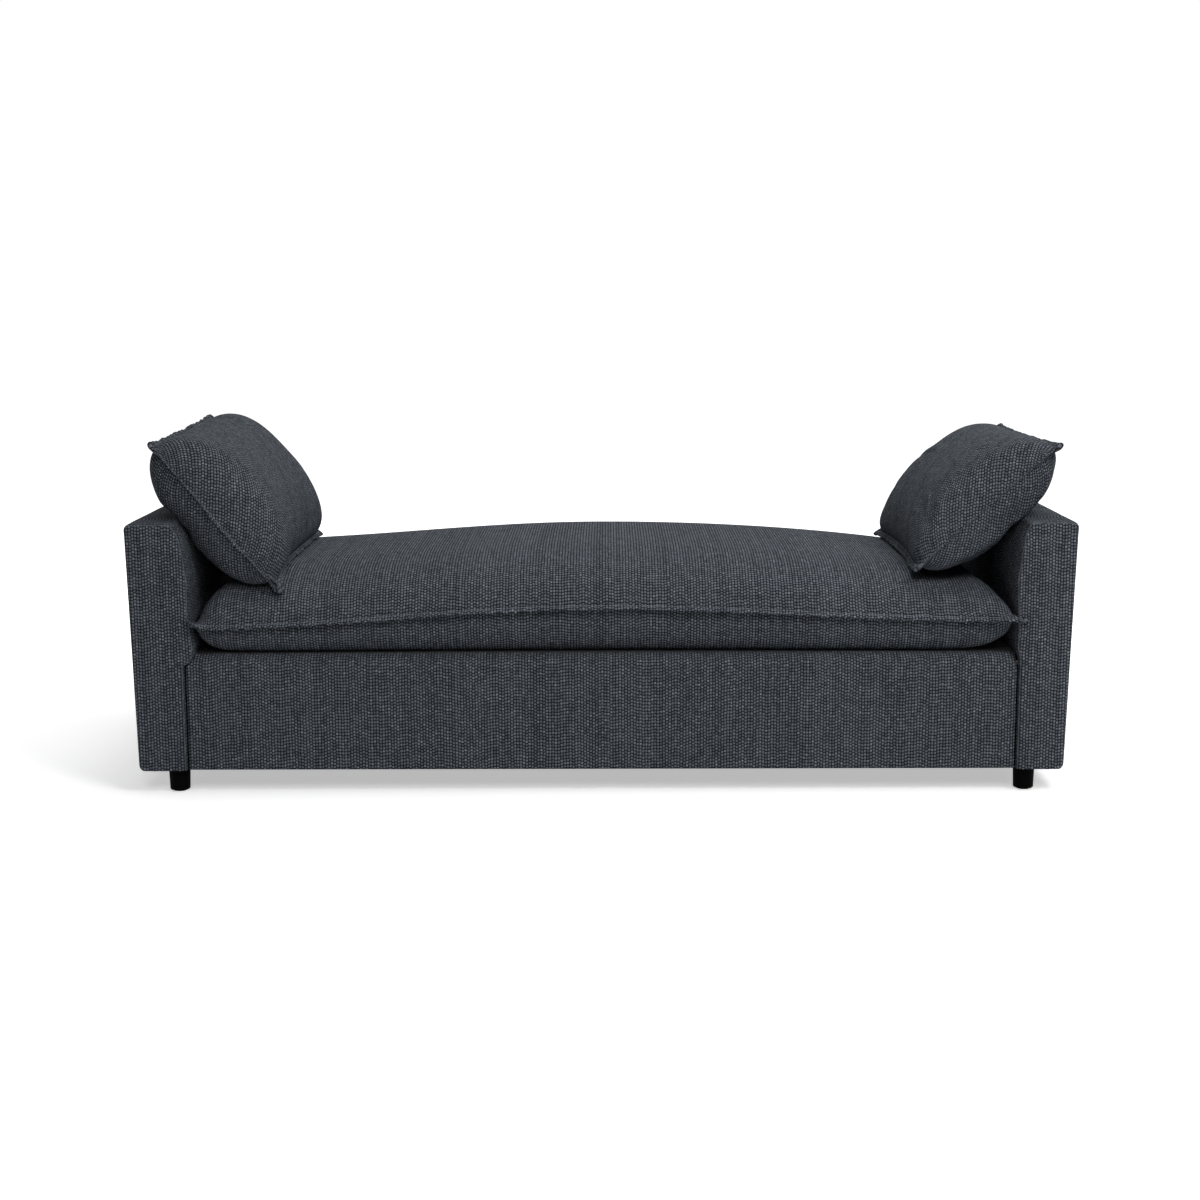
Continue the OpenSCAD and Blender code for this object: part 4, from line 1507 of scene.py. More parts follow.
    def end_rings(self, inset: float) -> tuple[Array, Array]:
        """Outlines of an end panel from the wrap inwards, and how far out in Y each one lies.

        The first ones turn round the edge as a quarter circle with the seam's groove in it, and
        the others cross the flat face, which is crowned by crown.

        Args:
            inset: Distance drawn in from the cover's outside.

        Returns:
            Rings of outlines, and their distances from the arm's middle.
        """
        turns = np.radians(self.ring_turns)
        dips = np.zeros(len(turns))
        dips[self.groove_ring] = self.groove
        insets = self.edge_r * (1.0 - np.cos(turns)) + dips
        depths = self.half_d - self.edge_r + self.edge_r * np.sin(turns) - dips
        flat = np.linspace(0.0, 1.0, 9)[1:]
        insets = np.concatenate([insets, self.edge_r + (self.end_run - self.edge_r) * flat])
        depths = np.concatenate([depths, self.half_d + self.crown * (1.0 - (1.0 - flat) ** 2)])
        return np.stack([self.outline(i + inset) for i in insets]), depths - inset

    def make(self, name: str, inset: float, hem: bool) -> bpy.types.Object:
        """Makes the arm's skin: the wrap over the top, an end panel at front and back, and the hem.

        Args:
            name: Name of the piece.
            inset: Distance drawn in from the cover's outside.
            hem: Whether a strip is folded under the arm.

        Returns:
            The skin.
        """
        rings, depths = self.end_rings(inset)
        ends = {
            sign: np.stack(
                np.broadcast_arrays(rings[..., 0], sign * depths[:, None], rings[..., 1]), -1
            )
            for sign in (-1, 1)
        }
        middle = np.linspace(-1.0, 1.0, 61)[1:-1, None] * (self.half_d - self.edge_r - inset)
        wall = np.stack(np.broadcast_arrays(rings[0, :, 0], middle, rings[0, :, 1]), -1)
        seam = self.groove_ring
        wrap = self.puffed(np.concatenate([ends[-1][seam::-1], wall, ends[1][: seam + 1]]))
        over = path_lengths(wrap, 1)
        panels = Panels()
        panels.add(wrap, np.stack([wrap[..., 1], over - over[:, :1] + self.hem_z], -1))
        share = np.linspace(0.0, 1.0, 5)[None, :, None]
        for end in ends.values():
            panels.add(end[seam:])
            last = end[-1]
            half = len(last) // 2 + 1
            outer, inner = last[:half, None], last[::-1][:half, None]
            panels.add(outer * (1.0 - share) + inner * share)
        if hem:
            self.add_hem(panels, ends, wall)
        for points in panels.points:
            points[:, 0] = (points[:, 0] + self.softened(points)) * self.side.value
        return panels.sew(name)

    def pad(self) -> bpy.types.Object:
        """Makes the padding: the skin drawn in, and the same skin pressed onto the boards' box.

        Returns:
            The padding, closed along its hem.
        """
        skin = self.make(f"{self.side.word}_arm_foam", self.pad_inset, False)
        mesh = skin.data
        outer = np.empty(len(mesh.vertices) * 3)
        mesh.vertices.foreach_get("co", outer)
        outer = outer.reshape(-1, 3)
        outer[:, 2] = np.maximum(outer[:, 2], self.pad_hem_z)
        inner = outer * np.array([self.side.value, 1.0, 1.0])
        inner[:, 2] = np.minimum(inner[:, 2], self.board_top)
        at_rail = inner[:, 2] > self.board_top - self.rail_h
        narrow = np.where(at_rail, self.rail_in_x, self.board_in_x)
        inner[:, 0] = np.clip(inner[:, 0], narrow, self.board_out_x) * self.side.value
        inner[:, 1] = np.clip(inner[:, 1], -self.board_y, self.board_y)
        count = len(outer)
        faces = [tuple(p.vertices) for p in mesh.polygons]
        work = bmesh.new()
        work.from_mesh(mesh)
        hem = [(e.verts[0].index, e.verts[1].index) for e in work.edges if e.is_boundary]
        work.free()
        every = faces + [tuple(i + count for i in face[::-1]) for face in faces]
        every += [(a, b, b + count, a + count) for a, b in hem]
        mesh.clear_geometry()
        mesh.from_pydata(np.concatenate([outer, inner]).tolist(), [], every)
        cleaned(mesh, MERGE)
        return skin

    def add_hem(self, panels: Panels, ends: dict[int, Array], wall: Array) -> None:
        """Adds the strip of cloth that is folded under the arm all round.

        Args:
            panels: Panels to add to.
            ends: Grids of the ends by the sign of Y.
            wall: Grid of the wrap between them.
        """
        front, back = ends[-1][: self.hem_ring][::-1], ends[1][: self.hem_ring]
        outer = np.concatenate([front[:, 0], wall[:, 0], back[:, 0]])
        inner = np.concatenate([front[:, -1], wall[:, -1], back[:, -1]])
        for edge, way in ((outer, -1.0), (inner, 1.0)):
            step = np.array([0.0, 0.5, 1.0])[:, None, None] * self.hem_fold
            strip = edge[None] + step * np.array([way, 0.0, 0.0])
            strip[1:, :, 2] += 0.4 * MM
            panels.add(strip, np.stack([strip[..., 1], strip[..., 0]], -1))

    def build(self) -> None:
        """Makes the arm's cover and padding, and dresses both."""
        word = self.side.word
        cover = self.make(f"{word}_arm_upholstery", 0.0, True)
        with_thickness(cover, CLOTH_WALL)
        dress(cover, UPHOLSTERY, "frame", [f"{word}_arm_cover"])
        dress(self.pad(), FOAM, "frame", [f"{word}_arm_padding"])


@dataclass
class BasePanel:
    """Padded panel over the front or back rail, with a rounded top edge and a lip on the deck."""

    end: End
    seam_x: float = 967.0 * MM
    face_y: float = 445.0 * MM
    deck_z: float = 327.0 * MM
    hem_z: float = 56.0 * MM
    edge_r: float = 24.0 * MM
    # The cover's lip stops at lip_y and the black band runs on up to it, so the shaded gap under
    # the cushion shows black cloth: painted shade.
    lip_y: float = 408.0 * MM
    band_y: float = 358.5 * MM
    rail_y: float = 428.0 * MM
    rail_in_y: float = 406.0 * MM
    web_top_z: float = 308.3 * MM
    front_drop: float = 3.2 * MM
    corner_drop: float = 5.0 * MM
    corner_run: float = 105.0 * MM
    corner_r: float = 24.0 * MM
    tuck: float = 9.0 * MM
    hem_steps: tuple[float, ...] = (26.0 * MM, 13.0 * MM, 2.0 * MM)
    upper_run: float = 150.0 * MM
    hem_run: float = 50.0 * MM
    pad_inset: float = 2.6 * MM
    pad_hem_z: float = 60.0 * MM
    pad_rows: tuple[int, int] = (3, 48)
    columns: int = 181
    crowding: float = 0.35

    def surface(self, inset: float) -> Array:
        """Outer surface drawn in by inset: the profile in Y and Z carried along X.

        The top edge lies front_drop low. Near the arms it falls further, in an ease and then as a
        flat quarter circle, and the whole face draws in as a quarter circle.

        Args:
            inset: Distance drawn in.

        Returns:
            Grid, profile by length.
        """
        r = self.edge_r - inset
        face, top = self.face_y - inset, self.deck_z - inset
        turn = np.linspace(0.0, 0.5 * np.pi, 12)[1:]
        rise = np.linspace(self.hem_z, top - r, 34)
        y = np.concatenate([
            face - np.array(self.hem_steps), np.full_like(rise, face),
            face - r + r * np.cos(turn), np.linspace(face - r, self.lip_y, 9)[1:],
        ])
        z = np.concatenate([[self.hem_z] * 3, rise, top - r + r * np.sin(turn), np.full(8, top)])
        z[3] += 0.6 * MM
        x = spread(self.columns, self.crowding) * self.seam_x
        near = np.abs(x)[None, :]
        share = np.clip((near - (self.seam_x - self.tuck)) / self.tuck, 0.0, 1.0)
        draw = self.tuck * (1.0 - np.sqrt(1.0 - share**2))
        turned = np.clip((near - (self.seam_x - self.corner_r)) / self.corner_r, 0.0, 1.0)
        to_arm = smooth_step(near, self.seam_x - self.corner_run, self.seam_x)
        fall = self.corner_drop * to_arm**1.3 + self.front_drop
        fall = fall + 0.40 * self.corner_r * (1.0 - np.sqrt(1.0 - turned**2))
        edge = smooth_step(y, self.rail_in_y + 1.0 * MM, self.face_y - 5.0 * MM)[:, None]
        upper = smooth_step(z, self.deck_z - self.upper_run, self.deck_z)[:, None]
        grid_y = y[:, None] - draw * smooth_step(y, self.lip_y, self.face_y - 30.0 * MM)[:, None]
        grid_z = z[:, None] - (fall + 0.3 * draw) * edge * upper
        grid = np.stack([np.broadcast_to(x, grid_y.shape), grid_y, grid_z], -1)
        calm = smooth_step(grid[..., 2], self.hem_z, self.hem_z + self.hem_run)
        puff = (ripple(grid, 0.30, 21) * 0.9 + ripple(grid, 0.10, 22) * 0.25) * MM
        grid[..., 1] += puff * calm * edge * (1.0 - share)
        grid[..., 1] *= self.end.value
        return grid

    def build(self) -> None:
        """Makes the cover, the band on the deck and the padding, and dresses them."""
        word = self.end.word
        grid = self.surface(0.0)
        panels = Panels()
        panels.add(grid, np.stack([grid[..., 0], path_lengths(grid, 0)], -1))
        cover = panels.sew(f"{word}_panel_upholstery", outward=False)
        middle = cover.data.polygons[len(cover.data.polygons) // 2]
        if (self.end is End.FRONT) == (middle.normal.y > 0.0):
            cover.data.flip_normals()
        with_thickness(cover, CLOTH_WALL)
        dress(cover, UPHOLSTERY, "frame", [f"{word}_cover"])
        self.build_band()
        dress(self.padding(), FOAM, "frame", [f"{word}_padding"])

    def padding(self) -> bpy.types.Object:
        """Makes the padding: the surface drawn in, and the same grid pressed onto the rail.

        Returns:
            The padding, closed all round.
        """
        inner = self.surface(self.pad_inset)[slice(*self.pad_rows)]
        rail = inner.copy()
        below = inner[..., 2] < self.web_top_z
        rail_y = np.where(below, self.rail_y + 0.2 * MM, self.rail_in_y + 0.5 * MM)
        rail[..., 1] = self.end.value * rail_y
        inner[..., 2] = np.maximum(inner[..., 2], self.pad_hem_z)
        rail[..., 2] = np.minimum(inner[..., 2], self.web_top_z)
        panels = Panels()
        panels.add(inner)
        panels.add(rail)
        for place in (0, -1):
            panels.add(np.stack([inner[place], rail[place]]))
        for place in (0, -1):
            panels.add(np.stack([inner[:, place], rail[:, place]], 1))
        return panels.sew(f"{self.end.word}_panel_padding")

    def build_band(self) -> None:
        """Makes the black band that joins the panel to the deck lining, and dresses it. It runs
        forward to the lip, so the gap under the cushion's front edge shows near-black cloth:
        painted shade.
        """
        along = np.linspace(-1.0, 1.0, 81) * (self.seam_x - 0.6 * MM)
        across = np.linspace(self.band_y, self.lip_y + 1.2 * MM, 7)
        x, y = np.meshgrid(along, across, indexing="ij")
        z = np.full_like(x, self.deck_z - 0.35 * MM)
        grid = np.stack([x, y * self.end.value, z], -1)
        grid[..., 2] += 0.15 * MM * ripple(grid, 0.08, 23)
        panels = Panels()
        panels.add(grid)
        band = panels.sew(f"{self.end.word}_deck_band", outward=False)
        with_thickness(band, 0.6 * MM, 0.0)
        dress(band, LINING, "frame")


@dataclass
class Linings:
    """Black cloth: the deck under the cushion, and the stapled dust cover under the frame."""

    deck_x: float = 966.5 * MM
    deck_y: float = 360.0 * MM
    deck_z: float = 326.6 * MM
    under_x: float = 1066.0 * MM
    under_y: float = 428.0 * MM
    under_z: float = 55.9 * MM
    deck_sag: float = 0.45 * MM
    under_sag: float = 2.5 * MM
    staple_in: float = 9.0 * MM
    staple_half: float = 5.5 * MM
    staple_thick: float = 0.35 * MM
    long_row: tuple[int, float] = (35, 1020.0 * MM)
    short_row: tuple[int, float] = (14, 390.0 * MM)

    def sheet(
        self, name: str, half_x: float, half_y: float, z: float, sag: float, seed: int
    ) -> bpy.types.Object:
        """A stretched sheet: each half sags as a sine squared along and a cosine squared across.

        Ripples of a quarter of a millimetre go over it, and fade out towards its long edges.

        Args:
            name: Name of the piece.
            half_x: Half of its length.
            half_y: Half of its width.
            z: Height of its edge.
            sag: Sag of a bay.
            seed: Seed of its ripples.

        Returns:
            The sheet.
        """
        along, across = np.linspace(-half_x, half_x, 121), np.linspace(-half_y, half_y, 49)
        x, y = np.meshgrid(along, across, indexing="ij")
        grid = np.stack([x, y, np.full_like(x, z)], -1)
        bay = np.sin(np.pi * np.abs(x) / half_x) ** 2 * np.cos(0.5 * np.pi * y / half_y) ** 2
        edge = 1.0 - (np.abs(y) / half_y) ** 6
        grid[..., 2] -= sag * bay + 0.25 * MM * ripple(grid, 0.12, seed) * edge * bay
        panels = Panels()
        panels.add(grid, grid[..., :2])
        piece = panels.sew(name, outward=False)
        with_thickness(piece, 0.5 * MM)
        return piece

    def staples(self) -> bpy.types.Object:
        """Wire staples along the edge of the dust cover: each is a flat crown with bent ends.

        Returns:
            The staples as one piece.
        """
        rows = (self.long_row, self.short_row)
        long, short = (np.linspace(-reach, reach, count) for count, reach in rows)
        edge_x, edge_y = self.under_x - self.staple_in, self.under_y - self.staple_in
        spots = np.concatenate([
            np.stack(np.broadcast_arrays(x, y, across), -1)
            for sign in (-1.0, 1.0)
            for x, y, across in ((long, sign * edge_y, 0.0), (sign * edge_x, short, 1.0))
        ])
        along = self.staple_half * np.array([-1.0, -1.0, 0.0, 1.0, 1.0])
        height = np.array([0.5, -0.35, -0.55, -0.35, 0.5]) * MM
        ring = np.array([[-1.0, -1.0], [1.0, -1.0], [1.0, 1.0], [-1.0, 1.0]]) * self.staple_thick
        to_end = ring[:, 1] * np.array([1, 1, 0, -1, -1])[:, None] * 0.7
        to_cloth = ring[:, 1] * np.array([0, 0.7, 1, 0.7, 0])[:, None]
        wire = [along[:, None] + to_end, ring[None, :, 0], height[:, None] + to_cloth]
        local = np.stack(np.broadcast_arrays(*wire), -1)
        shapes = np.where(spots[:, None, None, 2:3] > 0.5, local[..., [1, 0, 2]], local)
        level = np.full((len(spots), 1), self.under_z - 0.5 * MM)
        centre = np.concatenate([spots[:, :2], level], axis=1)
        return strands("dust_cover_staples", shapes + centre[:, None, None, :], False)

    def build(self) -> None:
        """Makes both linings and the staples, and dresses them."""
        deck = self.sheet("deck_lining", self.deck_x, self.deck_y, self.deck_z, self.deck_sag, 31)
        dress(deck, LINING, "frame", ["deck_cloth"])
        size = (self.under_x, self.under_y)
        under = self.sheet("dust_cover_cloth", *size, self.under_z, self.under_sag, 37)
        dress(under, LINING, "frame", ["dust_cover"])
        dress(self.staples(), ZINC, "frame")


@dataclass
class Legs:
    """Five tapered round legs with softened edges, turned about their axes."""

    top_r: float = 25.0 * MM
    foot_r: float = 23.3 * MM
    foot_z: float = 3.0 * MM
    top_z: float = 55.0 * MM
    leg_x: float = 993.0 * MM
    leg_y: float = 410.0 * MM
    foot_round: float = 2.6 * MM
    rim_round: float = 0.8 * MM
    hub_r: float = 0.3 * MM
    around: int = 72

    def places(self) -> dict[str, tuple[float, float]]:
        """Centre of each leg by the name of its node.

        Returns:
            The places.
        """
        x, y = self.leg_x, self.leg_y
        return {
            "front_left_leg": (-x, -y), "front_right_leg": (x, -y), "back_left_leg": (-x, y),
            "back_right_leg": (x, y), "middle_leg": (0.0, 0.0),
        }

    def build(self) -> None:
        """Turns each leg from its profile and dresses it."""
        height = self.top_z - self.foot_z
        turn = np.linspace(0.0, 0.5 * np.pi, 5)
        foot, rim = self.foot_round, self.rim_round
        taper = np.linspace(0.08, 0.95, 8)
        r = np.concatenate([
            [self.hub_r, self.foot_r * 0.5], self.foot_r - foot + foot * np.sin(turn),
            self.foot_r + (self.top_r - self.foot_r) * taper,
            self.top_r - rim + rim * np.cos(turn), [self.top_r * 0.5, self.hub_r],
        ])[:, None]
        z = self.foot_z + np.concatenate([
            [0.0, 0.0], foot * (1.0 - np.cos(turn)), height * taper,
            height - rim + rim * np.sin(turn), [height, height],
        ])[:, None]
        angle = np.linspace(0.0, 2.0 * np.pi, self.around, endpoint=False)
        for name, (x, y) in self.places().items():
            wall = np.broadcast_arrays(x + r * np.cos(angle), y + r * np.sin(angle), z)
            grid = np.stack(wall, -1)
            panels = Panels()
            panels.add(grid, close=True)
            for row in (0, -1):
                hub = np.broadcast_to(grid[row].mean(axis=0), grid[row].shape)
                panels.add(np.stack([grid[row], hub]), close=True)
            dress(panels.sew(f"{name}_turned"), BLACK_LEG, "frame", [name])


# ---------------------------------------------------------------- cushions


@dataclass
class HeightMap:
    """Heights of a surface over a raster of cells, for what rests on it."""

    cell: float = 6.0 * MM
    reach_x: float = 1.0
    reach_y: float = 0.5
    fill_steps: int = 6
    heights: Array = field(default_factory=lambda: np.zeros((1, 1)))

    def cells(self, points: Array) -> tuple[Array, Array]:
        """Places in X and Y, counted in cells from the raster's corner."""
        x, y = points[..., 0] + self.reach_x, points[..., 1] + self.reach_y
        return x / self.cell, y / self.cell

    def keep(self, top: Array, rings: Array) -> None:
        """Keeps the highest place of each cell, and fills the empty cells from their neighbours.

        Args:
            top: Upper grid of a cushion.
            rings: Rings of its flange.
        """
        fine = top
        for axis in (0, 1):
            count = fine.shape[axis]
            first, second = (np.take(fine, range(k, count - 1 + k), axis) for k in (0, 1))
            fine = np.concatenate([fine, 0.5 * (first + second)], axis=axis)
        spots = np.concatenate([fine.reshape(-1, 3), rings.reshape(-1, 3)])
        size = (int(2.0 * self.reach_x / self.cell), int(2.0 * self.reach_y / self.cell))
        raster = np.full(size, -1.0)
        i, j = (np.clip(at.astype(int), 0, n - 1) for at, n in zip(self.cells(spots), size))
        np.maximum.at(raster, (i, j), spots[:, 2])
        for _ in range(self.fill_steps):
            wide = raster.copy()
            for axis in (0, 1):
                for step in (-1, 1):
                    wide = np.maximum(wide, np.roll(raster, step, axis))
            raster = np.where(raster < 0.0, wide, raster)
        near = [np.roll(raster, step, axis) for step in (-1, 0, 1) for axis in (0, 1)]
        self.heights = np.maximum.reduce(near)

    def at(self, points: Array) -> Array:
        """Height under points, evened out between the middles of the cells.

        Args:
            points: Places, with X, Y and Z last.

        Returns:
            Heights.
        """
        h = self.heights
        gx, gy = (
            np.clip(at - 0.5, 0.0, n - 1.001) for at, n in zip(self.cells(points), h.shape)
        )
        i, j = gx.astype(int), gy.astype(int)
        a, b = gx - i, gy - j
        low = h[i, j] * (1.0 - a) + h[i + 1, j] * a
        high = h[i, j + 1] * (1.0 - a) + h[i + 1, j + 1] * a
        return low * (1.0 - b) + high * b


@dataclass
class SeatCushion:
    """Bench cushion: two full panels that meet in a flanged seam, flat on the deck."""

    half_x: float = 948.7 * MM
    centre_x: float = 3.7 * MM
    half_y: float = 446.0 * MM
    deck_z: float = 327.5 * MM
    seam_h: float = 113.7 * MM
    fall_left: float = 44.7 * MM
    fall_right: float = 29.8 * MM
    crown_h: float = 231.5 * MM
    draw_end: float = 11.0 * MM
    draw_long: float = 8.0 * MM
    power_left: float = 12.0
    power_right: float = 36.0
    crown_fall: float = 0.45
    valley: float = 8.0 * MM
    power_long: float = 4.3
    under_left: float = 22.0
    under_right: float = 17.0
    power_under: float = 17.0
    join: float = 4.0
    rows: int = 150
    columns: int = 84
    dense_rows: int = 18
    dense_columns: int = 14
    dense_power: float = 24.0
    flange_reach: float = 14.0 * MM
    sink: float = 8.0 * MM
    valley_z: float = 11.0 * MM
    relief_cells: int = 9
    relief_share: float = 0.8
    wrap_wall: float = 9.0 * MM
    fill: float = 0.85
    inflation: Inflation = Inflation(pressure=5.0, slack=0.022, bending=1.2, cap=22.0 * MM)
    flange: Flange = Flange(
        width=14.0 * MM, half=2.4 * MM, droop=7.0 * MM, wave=1.4 * MM, wave_length=150.0 * MM,
        edge_wave=0.7 * MM, ear=1.15, curl=0.4, narrow=0.75, seed=5,
        pulls=(
            (0.960, -0.450, 0.020, 0.012, -0.008, 0.002),
            (-0.946, -0.446, 0.024, 0.002, -0.012, 0.021),
            (-0.930, -0.452, 0.012, 0.0, -0.004, -0.004),
        ),
    )
    tips: tuple[tuple[float, ...], ...] = (
        (0.952, -0.446, 0.042, 0.012, -0.006, 0.0),
        (-0.945, -0.446, 0.034, -0.002, -0.008, 0.003),
    )
    heights: HeightMap = field(default_factory=HeightMap)

    def seam_z(self, x: Array) -> Array:
        """Height of the seam: it falls towards each end as half a cosine.

        Args:
            x: Places along the seat.

        Returns:
            Heights.
        """
        share = np.clip(np.abs(x) / (self.half_x + self.flange_reach), 0.0, 1.0)
        fall = np.where(x < 0.0, self.fall_left, self.fall_right)
        return self.deck_z + self.seam_h - fall * 0.5 * (1.0 - np.cos(np.pi * share))

    def grids(self) -> tuple[Array, Array]:
        """Upper and lower panel before the cloth run.

        The crown falls towards the right end by the fourth power of the way there. Under the seam
        of the long sides the lower panel draws in by valley times d times e to the (1 - d), d
        being the depth under the seam over 11 mm. Each tip draws a corner out over a bell curve.

        Returns:
            Two grids with the same rim.
        """
        u, v = np.meshgrid(
            crowded(self.rows, self.dense_rows, self.dense_power),
            crowded(self.columns, self.dense_columns, self.power_under), indexing="ij",
        )
        x = self.centre_x + self.half_x * u * (1.0 - self.draw_end / self.half_x * (1.0 - v**2))
        y = self.half_y * v * (1.0 - self.draw_long / self.half_y * (1.0 - u**2))
        seam = self.seam_z(x)
        rise = self.deck_z + self.crown_h - self.seam_z(np.zeros(1))
        rise = rise * (1.0 - self.crown_fall * np.maximum(u, 0.0) ** 4)
        power = np.where(u < 0.0, self.power_left, self.power_right)
        top = seam + rise * swell(u, v, power, self.power_long, self.join)
        power = np.where(u < 0.0, self.under_left, self.under_right)
        full_under = swell(u, v, power, self.power_under, self.join)
        low = np.maximum(seam - (seam - self.deck_z + self.sink) * full_under, self.deck_z)
        deep = (seam - low) / self.valley_z
        pinch = self.valley * deep * np.exp(1.0 - deep) * smooth_step(np.abs(v), 0.80, 0.97)
        drawn = np.zeros((*x.shape, 3))
        for at_x, at_y, reach, *way in self.tips:
            near = np.exp(-((x - at_x) ** 2 + (y - at_y) ** 2) / reach**2)
            drawn += near[..., None] * np.array(way)
        lower = np.stack([x, y - np.sign(v) * pinch, low], -1)
        return np.stack([x, y, top], -1) + drawn, lower + drawn

    def build(self) -> None:
        """Makes the cushion, its stitches and its fibre wrap, and dresses them."""
        top, low = self.grids()
        moved_top, moved_low = self.inflation.folds(top, low, "seat_run")
        top = top + relief(moved_top, self.relief_cells, self.relief_share)
        low = self.on_deck(low + relief(moved_low, self.relief_cells, self.relief_share))
        form = SewnForm(top, low, np.broadcast_to(UP, top.shape), self.flange)
        cushion, rings = form.make("seat_cushion_cover", self.on_deck)
        subdivided(cushion)
        dress(cushion, SEAT_CLOTH, "seat_cushion", ["seat_cover"])
        self.heights.keep(top, rings)
        stitches = Stitching().make("seat_cushion_stitches", rings, ring_of(form.up))
        dress(stitches, SEAT_THREAD, "seat_cushion")
        panels = Panels()
        for face in core_of(top, low, self.wrap_wall):
            panels.add(face)
        dress(panels.sew("seat_cushion_wrap"), FIBRE, "seat_cushion", ["seat_wrap"])

    def on_deck(self, points: Array) -> Array:
        """Points held above the deck."""
        held = points.copy()
        held[..., 2] = np.maximum(held[..., 2], self.deck_z)
        return held


@dataclass(frozen=True)
class Dent:
    """A soft hollow in a pillow's face: where it is, how wide each way, how deep, and its turn."""

    h: float
    l: float
    wide_h: float
    wide_l: float
    deep: float
    turn: float = 0.0

    def depth(self, h: Array, l: Array) -> Array:
        """Depth at each place: a bell curve over the turned ellipse.

        Args:
            h: Places up the pillow.
            l: Places along it.

        Returns:
            Depths.
        """
        c, s = np.cos(self.turn), np.sin(self.turn)
        a = (c * (h - self.h) + s * (l - self.l)) / self.wide_h
        b = (c * (l - self.l) - s * (h - self.h)) / self.wide_l
        return self.deep * np.exp(-(a**2) - b**2)


@dataclass
class Pillow:
    """A loose pillow that leans on an arm, drawn for the right side.

    Its own directions are h up its lean, l along it to the back, and s off its seam plane.
    """

    side: Side
    seat: SeatCushion
    lean: float
    room: float
    forward: float
    dip: float = 0.0
    length: float = 690.0 * MM
    height: float = 430.0 * MM
    front: float = 114.0 * MM
    back: float = 96.0 * MM
    sag: float = 0.08
    sag_back: float = 0.0
    draw: float = 15.0 * MM
    draw_top: float = 5.0 * MM
    border: float = 12.0 * MM
    foot_z: float = 490.0 * MM
    power_h: float = 3.6
    power_foot: float = 5.5
    power_back: float = 5.0
    power_back_foot: float = 4.0
    slack: float = 18.0 * MM
    power_l: float = 7.0
    join: float = 1.9
    cloth_turn: float = -0.8
    rows: int = 66
    columns: int = 100
    crowd_h: tuple[int, float, float] = (8, 4.0, 0.7)
    crowd_l: tuple[int, float, float] = (10, 7.0, 0.75)
    over_seat: float = 4.0 * MM
    off_arm: float = 0.6 * MM
    off_seat: float = 0.8 * MM
    free_span: tuple[float, float] = (25.0 * MM, 125.0 * MM)
    give: float = 5.0 * MM
    flange_off: float = 3.0 * MM
    flange_span: tuple[float, float] = (8.0 * MM, 34.0 * MM)
    flange_kept: float = 0.12
    relief_cells: int = 8
    relief_share: float = 0.4
    filling_wall: float = 9.0 * MM
    filling_margin: int = 8
    fill: float = 0.7
    sewing: Stitching = Stitching(7.5 * MM, 5.2 * MM, 0.55 * MM, 0.2 * MM)
    dents: tuple[Dent, ...] = ()
    arm: Arm = field(default_factory=lambda: Arm(Side.RIGHT))
    inflation: Inflation = Inflation(pressure=4.0, slack=0.045, bending=0.25, cap=26.0 * MM)
    flange: Flange = Flange(
        width=12.0 * MM, half=1.9 * MM, droop=0.0, wave=1.8 * MM, wave_length=80.0 * MM,
        edge_wave=1.0 * MM, ear=1.1, curl=2.3, seed=7,
    )

    def axes(self) -> tuple[Array, Array]:
        """Directions up the lean and off the seam plane, in X and Z."""
        sin, cos = np.sin(np.radians(self.lean)), np.cos(np.radians(self.lean))
        return np.array([cos, sin]), np.array([-sin, cos])

    def foot(self) -> Array:
        """Foot of the seam plane in X and Z: the plane lies its room above the arm's top edge.

        Returns:
            X and Z of the foot.
        """
        (cos, sin), off = self.axes()
        reach = (self.arm.outline(0.0) @ off).max()
        return np.array([(self.foot_z * cos - reach - self.room) / sin, self.foot_z])

    def place(self, h: Array, l: Array, s: Array) -> Array:
        """World places of points of the pillow.

        The foot of the seam rides over the crown of the seat. The back lies on the plane through
        the arm's edge, and hangs through by slack where it is free of that edge. It gives way to
        that plane softly: give times the logarithm of (1 + e to the distance over give).

        Args:
            h: Height up the lean.
            l: Length, from front to back.
            s: Swell off the seam plane.

        Returns:
            Places, mirrored for the left side.
        """
        lean, off = self.axes()
        foot = self.foot()
        y = l - self.forward
        tilt = self.dip * l / self.length
        under = np.stack([np.full_like(y, foot[0] * self.side.value), y, y], -1)
        ride = np.maximum(0.0, self.seat.heights.at(under) + self.over_seat - foot[1] - tilt)
        rise = tilt + ride * np.maximum(0.0, 1.0 - h / self.height) ** 2
        edge = np.array([self.arm.top_in_x, self.arm.top_z]) - foot
        hang = self.slack * smooth_step(np.abs(h - edge @ lean), *self.free_span)
        rest = self.off_arm - self.room - rise * off[1] - hang
        t = rest + self.give * np.logaddexp(0.0, (s - rest) / self.give)
        x = foot[0] + h * lean[0] + t * off[0]
        z = foot[1] + rise + h * lean[1] + t * off[1]
        return np.stack([x * self.side.value, y, z], -1)

    def clear_of_seat(self, points: Array) -> Array:
        """Points held just above the seat's upper face."""
        held = points.copy()
        held[..., 2] = np.maximum(held[..., 2], self.seat.heights.at(held) + self.off_seat)
        return held

    def full(self, u: Array, v: Array, sag: float, upper: float, lower: float) -> Array:
        """Swell of one face, with its fullest place sunk by sag.

        Args:
            u: Share of the way to the foot or the top.
            v: Share of the way to the ends.
            sag: How far the swell sinks.
            upper: How long it stays full towards the top.
            lower: The same towards the foot.

        Returns:
            The swell, 0 to 1.
        """
        sagged = u + sag * (1.0 - u**2)
        return swell(sagged, v, np.where(sagged > 0.0, upper, lower), self.power_l, self.join)

